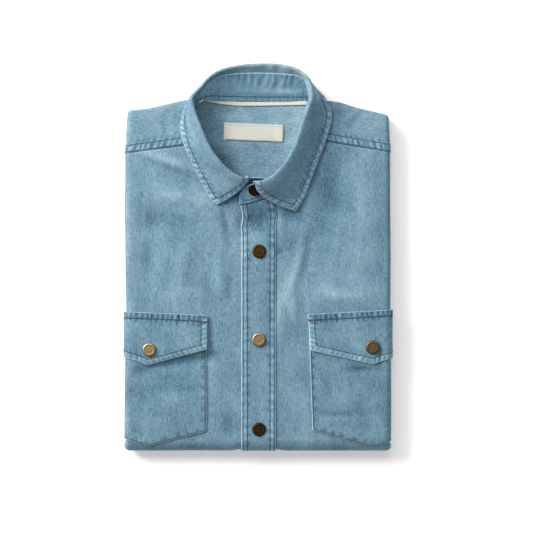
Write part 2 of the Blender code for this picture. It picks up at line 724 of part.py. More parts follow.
def core_point(station, row):
    side, x, turn = station
    outline = core_outline(side * (CORE_EDGE_X if x is None else x))
    v, h = outline[row % len(outline)]
    if x is not None:
        return strap_point(side * x, h - press(x, v) if h > 0 else h, v)
    if turn == 0:
        return strap_point(side * core_half_width(side, v), h, v)
    full = FOLD_R - CORE_STEP if h > 0 else -CORE_INNER
    reach = FOLD_R - CORE_STEP - CORE_SIDE_CLEAR - shoulder_drop(side * CORE_EDGE_X, v)
    h = h * reach / full * math.cos(turn)
    return strap_point(side * (core_half_width(side, v) + reach * math.sin(turn)), h, v)


def folded_layers(collection):
    """Back, sleeves and turned-in sides: one solid inside the fronts, its layers rounded at the ends."""
    stations = core_stations()
    columns, rows = len(stations) - 1, len(core_outline(0.0))
    bm = bmesh.new()
    bmesh.ops.create_grid(bm, x_segments=columns, y_segments=rows, size=0.5)
    for vert in bm.verts:
        column, row = cell(vert.co, columns, rows)
        vert.co = Vector(core_point(stations[round(column)], round(row))) * MM
    bmesh.ops.remove_doubles(bm, verts=bm.verts, dist=MERGE)
    rims = [edge for edge in bm.edges if edge.is_boundary]
    bmesh.ops.holes_fill(bm, edges=rims, sides=0)
    bmesh.ops.recalc_face_normals(bm, faces=bm.faces)
    add_piece("folded_layers", bm, "denim", collection)


def build_shirt():
    clear_scene()
    collection = bpy.data.collections.new("folded_denim_shirt")
    bpy.context.scene.collection.children.link(collection)
    folded_layers(collection)
    front_panel("front_right", YOKE_SEAM[0], RIGHT_NECK, collection)
    front_panel("front_left", YOKE_SEAM[1], LEFT_NECK, collection)
    yoke(collection)
    placket(collection)
    for shape in POCKETS:
        patch(shape, GAP, POCKET_LENGTHS, collection)
    for shape in FLAPS:
        patch(shape, PATCH_WALL + 2 * GAP, (), collection)
    collar_stand(collection)
    collar_leaf(collection)
    neck_tape(collection)
    neck_label(collection)
    snaps(collection)


build_shirt()
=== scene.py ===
"""Folded light blue denim snap-front shirt, face up, as a maker puts it together.

+X is to the right of the shirt as it lies, +Y points to the collar and +Z is up. Right and left are the
wearer's, so the right front lies at -X. Each piece is laid out in millimetres and scaled when it is finished.
"""

import math
from collections import namedtuple

import bmesh
import bpy
from mathutils import Matrix, Vector, noise
from mathutils.bvhtree import BVHTree
from mathutils.kdtree import KDTree


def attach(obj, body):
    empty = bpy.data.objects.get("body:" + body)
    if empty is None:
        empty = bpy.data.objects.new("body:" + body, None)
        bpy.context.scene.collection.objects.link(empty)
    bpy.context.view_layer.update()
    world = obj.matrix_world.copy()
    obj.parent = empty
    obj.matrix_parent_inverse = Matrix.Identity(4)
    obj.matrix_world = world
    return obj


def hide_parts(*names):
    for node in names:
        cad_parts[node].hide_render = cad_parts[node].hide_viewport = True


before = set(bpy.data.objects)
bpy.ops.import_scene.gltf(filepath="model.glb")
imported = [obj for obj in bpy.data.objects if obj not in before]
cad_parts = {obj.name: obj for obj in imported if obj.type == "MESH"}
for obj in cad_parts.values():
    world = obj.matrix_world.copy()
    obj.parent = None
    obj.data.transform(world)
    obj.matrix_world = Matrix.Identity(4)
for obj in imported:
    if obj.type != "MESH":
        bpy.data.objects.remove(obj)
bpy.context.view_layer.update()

# ------------------------------------------------------------
# HIDDEN LAYERS. The back, the sleeves and the turned-in sides, folded flat in the same light blue denim.
# They lie inside the fronts as one stack, and show as rounded edges at the shoulder end and at the hem. The
# whole shirt follows a flat strap with round side folds, bent once under itself at the bottom edge.
# ------------------------------------------------------------
MM = 0.001
FOLD_R = 5.2
BEND_R = 5.8
BEND_Y = -183.2
START_Y = 150.0
HEM_Y = 140.0
TOP_MIDDLE_Z = FOLD_R + 2 * BEND_R
BEND_START = START_Y - BEND_Y
BEND_LENGTH = math.pi * (BEND_R + FOLD_R)
HEM = BEND_START + BEND_LENGTH + HEM_Y - BEND_Y
PRESS_DEPTH = 1.3
PRESS_FULL = 19.0
PRESS_END = 28.0
PRESS_BEND = (0.05, 0.6)
SHOULDER_DROP = 1.2
SHOULDER_ROUND = 16.0

WidthRow = namedtuple("WidthRow", "along right left")
BODY_WIDTH = [WidthRow(*row) for row in (
    (0, 130.8, 131.0),
    (45, 133.0, 132.4),
    (105, 133.6, 132.5),
    (150, 133.0, 133.0),
    (200, 132.3, 132.7),
    (250, 131.7, 132.0),
    (BEND_START, 132.7, 132.0),
    (BEND_START + BEND_LENGTH / 2, 134.2, 133.5),
    (BEND_START + BEND_LENGTH, 132.0, 132.0),
    (HEM, 131.6, 131.6),
)]

ShoulderRow = namedtuple("ShoulderRow", "x y")
SHOULDER = [ShoulderRow(*row) for row in (
    (-131, 146.4),
    (-111, 147.9),
    (-93, 152.5),
    (-79, 156.3),
    (-62, 157.8),
    (58, 157.2),
    (70, 156.1),
    (82, 154.4),
    (100, 148.8),
    (112, 145.9),
    (131, 141.7),
)]

# Soft creases: each runs from (x, y) to (to_x, to_y) on the cloth, with y counted on past the bottom edge for
# the tail underneath. height is above the skin for a ridge and below it for a trough.
Crease = namedtuple("Crease", "x y to_x to_y width height")
CREASE_REACH = 2.6
CREASE_END = 0.45
CREASE_LIFT = 1.5
FOLD_FADE = 1.2
# Crease tone per mm: paler ridges, darker troughs, partly abrasion and partly painted light and shade.
FOLD_WEAR_AND_SHADING = 0.35
# Painted shade on the turned side of the right side fold.
RIGHT_FOLD_PAINTED_SHADE = 0.17
CREASES = [Crease(*row) for row in (
    (-116, 105, -66, 86, 4.5, 1.5),
    (-108, 96, -66, 81, 4.5, -0.9),
    (-94, 110, -74, 99, 3.5, -0.4),
    (-86, 103, -70, 88, 5.0, 0.5),
    (-127, 140, -127, -110, 7.0, 0.4),
    (-94, 97, -74, 85, 5.0, 0.9),
    (-104, 62, -52, 55, 8.0, 1.2),
    (-61, 56, -50, 53, 6.0, 0.5),
    (-114, 36, -78, 33, 10.0, -1.5),
    (-78, 46, -58, 43, 6.0, 0.9),
    (-76, 12, -76, -32, 8.0, 1.0),
    (-106, 16, -106, -16, 6.0, -0.7),
    (-37, 2, -38, -38, 6.0, 0.8),
    (-66, -36, -46, -42, 6.0, 0.6),
    (-34, 44, -27, 10, 3.5, -1.1),
    (-24, 42, -23, 24, 3.5, 0.5),
    (-110, 18, -109, -42, 5.0, -0.4),
    (-53, 8, -49, -42, 6.0, -0.45),
    (-26, -22, -30, -48, 4.0, -0.6),
    (-72, 159, -96, 139, 3.5, -0.5),
    (-82, 146, -80, 119, 3.5, -0.4),
    (-93, 139, -91, 118, 4.0, -0.7),
    (-116, 142, -88, 150, 9.0, 0.7),
    (80, 98, 60, 30, 15.0, -1.5),
    (-26, 50, 30, 43, 9.0, -1.0),
    (-120, 90, -84, 64, 13.0, 0.5),
    (104, 95, 102, -45, 9.0, 0.5),
    (124, 35, 124, -5, 6.0, -0.6),
    (22, 44, 25, 12, 3.5, 0.7),
    (19, 8, 26, 2, 3.5, -0.9),
    (45, 6, 28, -46, 5.5, 1.3),
    (84, 8, 112, -5, 9.0, 0.8),
    (60, -37, 108, -43, 7.0, 1.5),
    (34, -36, 36, -66, 6.0, 1.1),
    (121, -84, 124, -112, 4.0, -1.0),
    (22, -42, 24, -84, 6.0, 1.2),
    (84, 52, 104, 42, 7.0, -0.7),
    (54, 22, 43, -26, 5.0, -0.8),
    (46, 34, 50, 20, 5.0, 0.4),
    (32, 14, 40, 10, 5.0, -0.5),
    (104, 145, 87, 125, 4.0, -0.8),
    (82, 149, 80, 117, 5.0, -0.9),
    (112, 137, 122, 128, 7.0, 0.4),
    (-14, 34, 14, 41, 7.5, -2.2),
    (-12, 27, 12, 31, 6.0, -1.0),
    (26, 44, 44, 37, 7.0, -1.3),
    (-7, 4, -7, -11, 4.0, -0.8),
    (-8, 47, 9, 51, 5.0, -0.5),
    (-120, -114, -40, -98, 5.5, -1.8),
    (-46.5, -66, -45.5, -97, 3.5, -0.9),
    (-88, -72, -66, -80, 8.0, 0.6),
    (-125, -134, -60, -133, 5.0, -1.0),
    (-114, -120, -78, -123, 8.0, -1.3),
    (-128, -172, -112, -180, 7.0, -0.9),
    (-112, -158, -70, -155, 5.0, -0.3),
    (60, -100, 113, -112.5, 3.5, -0.5),
    (86, -113, 119, -113, 3.0, -1.3),
    (97, -134, 117, -133, 6.0, 0.5),
    (62, -118, 66, -146, 5.0, 0.8),
    (84, -176, 112, -182, 6.0, 0.7),
    (10, -187, 84, -187, 4.5, 0.9),
    (57, -158, 110, -157, 4.0, -0.8),
    (-36, -160, -24, -168, 6.0, -1.2),
    (-28, -108, -28, -126, 6.0, -0.4),
    (-60, -262, -34, -338, 8.0, -0.8),
    (36, -300, 74, -372, 9.0, -0.9),
    (-96, -396, -30, -428, 7.0, -0.7),
    (84, -452, 30, -498, 8.0, -0.8),
    (-70, -520, -104, -486, 6.0, -0.6),
    (-86, -88, -66, -92, 7.0, 0.7),
    (96, -28, 124, -36, 9.0, 0.7),
    (-34, -172, -20, -176, 6.0, -0.9),
    (112, -142, 124, -146, 7.0, 0.8),
    (-120, -140, -104, -146, 7.0, -0.8),
)]

# The cloth's gentle unevenness: how long its waves are across and along it, and how high.
Wave = namedtuple("Wave", "across along seed height")
SLOW_WAVE = Wave(46, 62, 0.3, 0.9)
QUICK_WAVE = Wave(17, 27, 4.1, 0.25)
TAIL_WAVE_PART = 1 / 3


def mix(a, b, t):
    return a + (b - a) * t


def ripple(wave, x, y):
    """Smooth unevenness at a place, up to about the wave's height."""
    return wave.height * noise.noise(Vector((x / wave.across, y / wave.along, wave.seed)))


def ease(t):
    t = min(max(t, 0.0), 1.0)
    return t * t * (3 - 2 * t)


def read_table(rows, column, value, by):
    """Straight-line reading of one column of a table at a value of another."""
    low = rows[0]
    for high in rows[1:]:
        if value <= getattr(high, by):
            break
        low = high
    start, end = getattr(low, by), getattr(high, by)
    t = min(max((value - start) / (end - start), 0.0), 1.0) if end != start else 1.0
    return mix(getattr(low, column), getattr(high, column), t)


def along(y):
    """Length along the front's skin from START_Y to a place seen from above at y."""
    if y >= BEND_Y:
        return START_Y - y
    return BEND_START + math.asin(min((BEND_Y - y) / (BEND_R + FOLD_R), 1.0)) * (BEND_R + FOLD_R)


def spine(v):
    """Middle of the strap at a length v: y, z, and the outward direction there."""
    if v <= BEND_START:
        return START_Y - v, TOP_MIDDLE_Z, 0.0, 1.0
    if v >= BEND_START + BEND_LENGTH:
        return BEND_Y + v - BEND_START - BEND_LENGTH, FOLD_R, 0.0, -1.0
    turn = (v - BEND_START) / (BEND_R + FOLD_R)
    out_y, out_z = -math.sin(turn), math.cos(turn)
    return BEND_Y + BEND_R * out_y, FOLD_R + BEND_R + BEND_R * out_z, out_y, out_z


def half_width(u, v):
    """Half the strap's width, as far as the middle of its round side fold."""
    return read_table(BODY_WIDTH, "left" if u > 0 else "right", v, "along") - FOLD_R


def press(u, v):
    """How far the underside makes room for the placket, so that both lie flat."""
    start, end = PRESS_BEND
    round_bend = ease(((v - BEND_START) / BEND_LENGTH - start) / (end - start))
    return PRESS_DEPTH * round_bend * ease((PRESS_END - abs(u)) / (PRESS_END - PRESS_FULL))


def strap_point(x, h, v):
    y, z, out_y, out_z = spine(v)
    return Vector((x, y + h * out_y, z + h * out_z))


def crease_height(crease, x, y):
    """A soft trough or ridge: deepest in its middle, fading to both ends."""
    reach = CREASE_REACH * crease.width
    if not min(crease.y, crease.to_y) - reach < y < max(crease.y, crease.to_y) + reach:
        return 0.0
    if not min(crease.x, crease.to_x) - reach < x < max(crease.x, crease.to_x) + reach:
        return 0.0
    run_x, run_y = crease.to_x - crease.x, crease.to_y - crease.y
    t = ((x - crease.x) * run_x + (y - crease.y) * run_y) / (run_x**2 + run_y**2)
    t = min(max(t, 0.0), 1.0)
    away = math.hypot(x - crease.x - run_x * t, y - crease.y - run_y * t)
    fade = CREASE_END + (1 - CREASE_END) * math.sin(math.pi * t)
    return crease.height * fade * math.exp(-((away / crease.width) ** 2))


def wear_and_painted_shading(u, v):
    """Cloth paleness: crease ridges paler, troughs darker, partly abrasion and partly painted light and
    shade; painted shade round the right side fold.
    """
    turn = (abs(u) - half_width(u, v)) / FOLD_R
    return FOLD_WEAR_AND_SHADING * folds(CREASES, u, v) - (RIGHT_FOLD_PAINTED_SHADE * ease(turn) if u < 0 else 0.0)


def folds(creases, u, v):
    """Height of a table's creases at a place of the cloth."""
    return sum(crease_height(crease, u, START_Y - v) for crease in creases)


def drape(u, v):
    """Height of the cloth's creases and of its gentle unevenness over the flat skin."""
    y = START_Y - v
    height = folds(CREASES, u, v)
    slow = ripple(SLOW_WAVE, u, y)
    if v > BEND_START:
        level = ease((BEND_START + BEND_LENGTH - v) / BEND_LENGTH)
        return min(height, 0.0) + TAIL_WAVE_PART * mix(-abs(slow), slow, level)
    return CREASE_LIFT * height + slow + ripple(QUICK_WAVE, u, y)


def body_point(u, v, lift):
    """A point of the cloth: u across from the middle line, v along the front, lift outwards from the skin."""
    side = 1 if u > 0 else -1
    flat = half_width(u, v)
    turn = max(abs(u) - flat, 0.0) / FOLD_R
    fade = max(1 - turn / FOLD_FADE, 0.0)
    radius = FOLD_R + lift - press(u, v) + fade * drape(u, v)
    if turn == 0:
        return strap_point(u, radius, v)
    return strap_point(side * (flat + radius * math.sin(turn)), radius * math.cos(turn), v)


class Cloth:
    """A piece of cloth being made up: a grid laid on its surface, each point knowing its place in the cut."""

    def __init__(self, columns, rows, place, skip=None, face_down=False):
        """place(column, row) gives a point, its place across and along the grain, and how much paler it is
        made:
        by abrasion, and by painted light and shade.
        """
        self.bm = bmesh.new()
        bmesh.ops.create_grid(self.bm, x_segments=columns, y_segments=rows, size=0.5)
        if skip:
            cut = []
            for face in self.bm.faces:
                middle = face.calc_center_median()
                if skip((middle.x + 0.5) * columns, (middle.y + 0.5) * rows):
                    cut.append(face)
            bmesh.ops.delete(self.bm, geom=cut, context="FACES")
        self.grain = self.bm.verts.layers.float_vector.new("grain")
        self.rim = self.bm.verts.layers.float.new("rim")
        self.row = self.bm.verts.layers.float.new("row")
        self.pale_map = self.bm.verts.layers.float.new("pale_map")
        self.at = {}
        self.columns, self.rows = columns, rows
        for vert in self.bm.verts:
            key = round((vert.co.x + 0.5) * columns), round((vert.co.y + 0.5) * rows)
            point, grain_x, grain_y, worn = place(*key)
            vert.co = point
            vert[self.grain] = Vector((grain_x, grain_y, 0))
            vert[self.pale_map] = worn
            vert[self.rim] = FAR_FROM_RIM
            vert[self.row] = FAR_FROM_RIM
            self.at[key] = vert
        if face_down:
            bmesh.ops.reverse_faces(self.bm, faces=self.bm.faces)
        self.bm.normal_update()

    def line(self, first, last):
        """Points of the grid along one of its lines, from one (column, row) to another."""
        steps = max(abs(last[0] - first[0]), abs(last[1] - first[1]))
        keys = [
            (round(mix(first[0], last[0], k / steps)), round(mix(first[1], last[1], k / steps)))
            for k in range(steps + 1)
        ]
        return [self.at[key].co.copy() for key in keys]


FAR_FROM_RIM = 30.0


def finish_piece(name, bm, material, node=None, wall=0.0, levels=0):
    """Scales a made piece to metres, gives cloth its wall, and adds it to the shirt in place of its node."""
    bmesh.ops.scale(bm, vec=(MM, MM, MM), verts=bm.verts)
    mesh = bpy.data.meshes.new(name)
    bm.to_mesh(mesh)
    bm.free()
    mesh.shade_smooth()
    mesh.materials.append(material)
    piece = bpy.data.objects.new(name, mesh)
    bpy.context.scene.collection.objects.link(piece)
    if wall:
        thick = piece.modifiers.new("wall", "SOLIDIFY")
        thick.thickness = wall * MM
        thick.offset = 0
    if levels:
        smooth = piece.modifiers.new("smooth", "SUBSURF")
        smooth.levels = levels
        smooth.render_levels = levels
    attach(piece, "root")
    if node:
        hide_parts(node)
    return piece


class Value:
    """A number, colour or vector in a material. Python's operators on it add Math nodes."""

    def __init__(self, socket):
        self.socket = socket

    def math(self, operation, other=0.0, swapped=False):
        first, second = (other, self) if swapped else (self, other)
        tree = self.socket.id_data
        return add_node(tree, "ShaderNodeMath", {"operation": operation}, {0: first, 1: second})

    def __add__(self, other):
        return self.math("ADD", other)

    def __sub__(self, other):
        return self.math("SUBTRACT", other)

    def __rsub__(self, other):
        return self.math("SUBTRACT", other, swapped=True)

    def __mul__(self, other):
        return self.math("MULTIPLY", other)

    def __truediv__(self, other):
        return self.math("DIVIDE", other)

    def __abs__(self):
        return self.math("ABSOLUTE")

    def least(self, other):
        return self.math("MINIMUM", other)

    def most(self, other):
        return self.math("MAXIMUM", other)

    __radd__ = __add__
    __rmul__ = __mul__


def add_node(tree, kind, settings=None, sockets=None, out=0):
    """Adds one node: its settings first, then the values or links of its sockets."""
    node = tree.nodes.new(kind)
    for name, value in (settings or {}).items():
        if name == "stops":
            for k, (place, colour) in enumerate(value):
                stop = node.color_ramp.elements[k] if k < 2 else node.color_ramp.elements.new(place)
                stop.position = place
                stop.color = (*colour, 1)
        else:
            setattr(node, name, value)
    for name, value in (sockets or {}).items():
        if isinstance(value, Value):
            tree.links.new(value.socket, node.inputs[name])
        else:
            node.inputs[name].default_value = value
    return Value(node.outputs[out]) if node.outputs else None


def new_material(name):
    material = bpy.data.materials.new(name)
    material.use_nodes = True
    material.node_tree.nodes.clear()
    return material, material.node_tree


def attribute(tree, name, out):
    return add_node(tree, "ShaderNodeAttribute", {"attribute_name": name}, out=out)


def object_place(tree):
    return add_node(tree, "ShaderNodeTexCoord", out=3)


def ramp(tree, value, *stops):
    return add_node(tree, "ShaderNodeValToRGB", {"stops": stops}, {0: value})


def spots(tree, place, scale, detail, roughness=0.5):
    sockets = {"Vector": place, "Scale": scale, "Detail": detail, "Roughness": roughness}
    return add_node(tree, "ShaderNodeTexNoise", None, sockets)


def two_ways(tree, grain):
    """The grain's two directions in the cloth: across and along."""
    parts = add_node(tree, "ShaderNodeSeparateXYZ", None, {0: grain})
    return parts, Value(parts.socket.node.outputs[1])


def finish_look(tree, height, strength, depth, sockets):
    """Ends a material in its shader, with a bump of a strength and a depth in metres."""
    bump = add_node(tree, "ShaderNodeBump", None, {"Strength": strength, "Distance": depth, "Height": height})
    shader = add_node(tree, "ShaderNodeBsdfPrincipled", None, {"Normal": bump, **sockets})
    add_node(tree, "ShaderNodeOutputMaterial", None, {0: shader})


# Marks in a cloth: how wide and long each kind is, and how much it lightens or darkens the cloth.
MarkRow = namedtuple("MarkRow", "across along detail seed shade")
MARK_ROUGHNESS = 0.6


def stretched_noise(tree, place, mark, seed=0.0):
    """One kind of mark over a cloth, from about -1 to 1."""
    seed += mark.seed
    scaled = add_node(
        tree, "ShaderNodeVectorMath", {"operation": "MULTIPLY_ADD"},
        {0: place, 1: (1 / mark.across, 1 / mark.along, 1 / mark.across), 2: (seed, 2 * seed, seed)},
    )
    return spots(tree, scaled, 1.0, mark.detail, MARK_ROUGHNESS) * 2 - 1


# Denim: indigo warp over white weft, washed until the raised places are nearly white.
WashRow = namedtuple("WashRow", "shade colour")
DENIM = (
    WashRow(0.0, (0.018, 0.047, 0.080)),
    WashRow(1.0, (0.44, 0.53, 0.56)),
    WashRow(0.25, (0.065, 0.136, 0.194)),
    WashRow(0.5, (0.133, 0.236, 0.305)),
    WashRow(0.78, (0.240, 0.357, 0.415)),
)
# In turn: slubs, weft threads, flecks, clouds and long streaks.
DENIM_MARKS = [MarkRow(*row) for row in (
    (1.0, 5.0, 3.0, 0, 0.42),
    (7.0, 0.9, 2.0, 7, 0.16),
    (1.1, 1.3, 1.0, 5, 0.24),
    (30.0, 51.0, 3.0, 3, 0.30),
    (5.5, 30.0, 2.0, 9, 0.13),
)]
TWILL_PITCH = 0.85
TWILL_SHADE = 0.02
TWILL_BUMP, SLUB_BUMP, WEFT_BUMP = 0.35, 0.5, 0.4
DENIM_BUMP, DENIM_DEPTH = 0.5, 0.00012
MIDDLE_SHADE = 0.5
PALE_MAP_SHADE = 0.34
RIM_WIDTH = 1.1
GROOVE = 0.9
SHADE_BLUE_GAIN = 0.6


def denim(name, doubled=0.0, rim_fade=0.34, seed=0.0, tone=0.0, groove=0.45, shade_blue=0.0):
    """Washed denim. doubled is how far apart its two stitch rows are, and groove is how dark they lie in it.
    Its last setting paints it a deeper blue, as painted shade for the bluish skylight in its shadowed places."""
    material, tree = new_material(name)
    grain = attribute(tree, "grain", 1)
    rim = attribute(tree, "rim", 2)
    row = attribute(tree, "row", 2)
    pale_map = attribute(tree, "pale_map", 2)
    marks = [stretched_noise(tree, grain, kind, seed) for kind in DENIM_MARKS]
    across, length = two_ways(tree, grain)
    twill = ((across + length) * (2 * math.pi / TWILL_PITCH)).math("SINE")
    edge = 1 - (rim / RIM_WIDTH).least(1.0)
    # The pale map carries abrasion, seam roping and painted light and shade, laid on the cloth's points.
    shade = MIDDLE_SHADE + tone + twill * TWILL_SHADE + pale_map * PALE_MAP_SHADE + edge * rim_fade
    for mark, kind in zip(marks, DENIM_MARKS):
        shade = shade + mark * kind.shade
    for offset in {0.0, doubled}:
        shade = shade - (1 - (abs(row + offset) / GROOVE).least(1.0)) * groove
    washes = [(at, (r * (1 - shade_blue), g, b * (1 + SHADE_BLUE_GAIN * shade_blue))) for at, (r, g, b) in DENIM]
    slubs, weft = marks[:2]
    finish_look(
        tree, twill * TWILL_BUMP + slubs * SLUB_BUMP + weft * WEFT_BUMP, DENIM_BUMP, DENIM_DEPTH,
        {"Base Color": ramp(tree, shade, *washes), "Roughness": 0.92, "Specular IOR Level": 0.18,
         "Sheen Weight": 0.12, "Sheen Roughness": 0.55},
    )
    return material


CORE_STEP = 2.9
CORE_NECK_STEP = 6.2
CORE_INNER = -5.1
CORE_SIDE_CLEAR = 0.4
CORE_MOST_WIDTH = 131.3
CORE_NECK_END_Y = 48.0
CORE_NECK_RAMP = 12.0
CORE_EDGE_X = 131.0
SHOULDER_LAYERS = (5.6, 3.2, 4.6, 3.0)
HEM_LAYERS = (1.6, 3.8, 2.4, 4.4)
LAYER_WAVE = Wave(38, 1 / 3.7, 0, 0.9)
LAYER_REACH = 0.62
LAYER_HALF = 0.49
LAYER_TURNS = (-0.5, -0.3, -0.1, 0.1, 0.3, 0.5)
CORE_ACROSS = 34
CORE_TURNS = 6
CORE_WRAP = math.radians(84)
CORE_STATIONS = (150.0, 250.0)
CORE_BEND_STEPS = 10
CORE_INNER_STEPS = 6
CORE_SHOULDER_END = 4.0


def lobes(top, bottom, backs, x):
    """Rounded edges of stacked layers at an end, uneven along x: (back, height) pairs, top one first."""
    thick = (top - bottom) / len(backs)
    points = []
    for k, back in enumerate(backs):
        back += ripple(LAYER_WAVE, x, k)
        middle = top - (k + 0.5) * thick
        for turn in LAYER_TURNS:
            reach = LAYER_REACH * thick * math.cos(math.pi * turn)
            points.append((back - reach, middle - LAYER_HALF * thick * math.sin(math.pi * turn)))
    return points


def core_outline(x):
    """The hidden layers' outline in the strap at one x, once round: (length, height) pairs."""
    top, neck_top = FOLD_R - CORE_STEP, FOLD_R - CORE_NECK_STEP
    shoulder_v = START_Y - read_table(SHOULDER, "y", x, "x")
    neck_end = START_Y - CORE_NECK_END_Y
    points = [
        (shoulder_v + back, h)
        for back, h in reversed(lobes(neck_top - SHOULDER_DROP, CORE_INNER, SHOULDER_LAYERS, x))
    ]
    points.append((shoulder_v + SHOULDER_ROUND + CORE_SHOULDER_END, neck_top))
    points += [(neck_end - CORE_NECK_RAMP, neck_top), (neck_end, top)]
    points += [(station, top) for station in CORE_STATIONS]
    points += [(BEND_START + BEND_LENGTH * k / CORE_BEND_STEPS, top) for k in range(CORE_BEND_STEPS + 1)]
    points += [(HEM - back, h) for back, h in lobes(top, CORE_INNER, HEM_LAYERS, x)]
    steps = reversed(range(CORE_INNER_STEPS + 1))
    return points + [(BEND_START + BEND_LENGTH * k / CORE_INNER_STEPS, CORE_INNER) for k in steps]


def shoulder_drop(u, v):
    """The shoulder thins towards its fold."""
    reach = (v - along(read_table(SHOULDER, "y", u, "x"))) / SHOULDER_ROUND
    if reach >= 1:
        return 0.0
    return SHOULDER_DROP * (1 - math.sqrt(max(1 - (1 - max(reach, 0.0)) ** 2, 0.0)))


def core_place(column, row):
    """Columns go from the right fold across the middle to the left fold; rows go once round the outline."""
    inner = column - CORE_TURNS
    side = -1 if inner < CORE_ACROSS / 2 else 1
    over = max(-inner, inner - CORE_ACROSS, 0)
    part = min(max(inner / CORE_ACROSS * 2 - 1, -1.0), 1.0)
    outline = core_outline(part * CORE_EDGE_X)
    v, h = outline[row % len(outline)]
    flat = min(half_width(side, v), CORE_MOST_WIDTH - FOLD_R)
    x = part * flat
    if not over:
        return strap_point(x, h - press(x, v) if h > 0 else h, v), x, v, 0.0
    turn = CORE_WRAP * over / CORE_TURNS
    full = FOLD_R - CORE_STEP if h > 0 else -CORE_INNER
    reach = FOLD_R - CORE_STEP - CORE_SIDE_CLEAR - shoulder_drop(side * CORE_EDGE_X, v)
    x = side * (flat + reach * math.sin(turn))
    return strap_point(x, h * reach / full * math.cos(turn), v), x, v, 0.0


layers = Cloth(CORE_ACROSS + 2 * CORE_TURNS, len(core_outline(0.0)), core_place)
bmesh.ops.remove_doubles(layers.bm, verts=layers.bm.verts, dist=0.01)
bmesh.ops.holes_fill(layers.bm, edges=[edge for edge in layers.bm.edges if edge.is_boundary], sides=0)
bmesh.ops.recalc_face_normals(layers.bm, faces=layers.bm.faces)
hidden_cloth = denim("hidden_denim", seed=11, tone=-0.04)
layers_piece = finish_piece("folded_back_and_sleeves", layers.bm, hidden_cloth, "folded_layers")

# ------------------------------------------------------------
# FRONTS. Two panels of the same denim, cut with the warp from shoulder to hem, each sewn to the collar stand
# at the neck and to the yoke at the shoulder. They wrap the sides of the stack and turn under at the bottom,
# and their hem is turned up once and stitched.
# ------------------------------------------------------------
GAP = 0.3
BODY_WALL = 1.0
NECK_CLEAR = 1.2
NECK_STEPS = 120
FRONT_WRAP = math.radians(150)
FRONT_COLUMNS = 66
FRONT_TURNS = 9
FRONT_ROWS = 150
BEND_ROWS = 14
TAIL_ROWS = 62
HEM_ROWS = (1.0, 6.5)

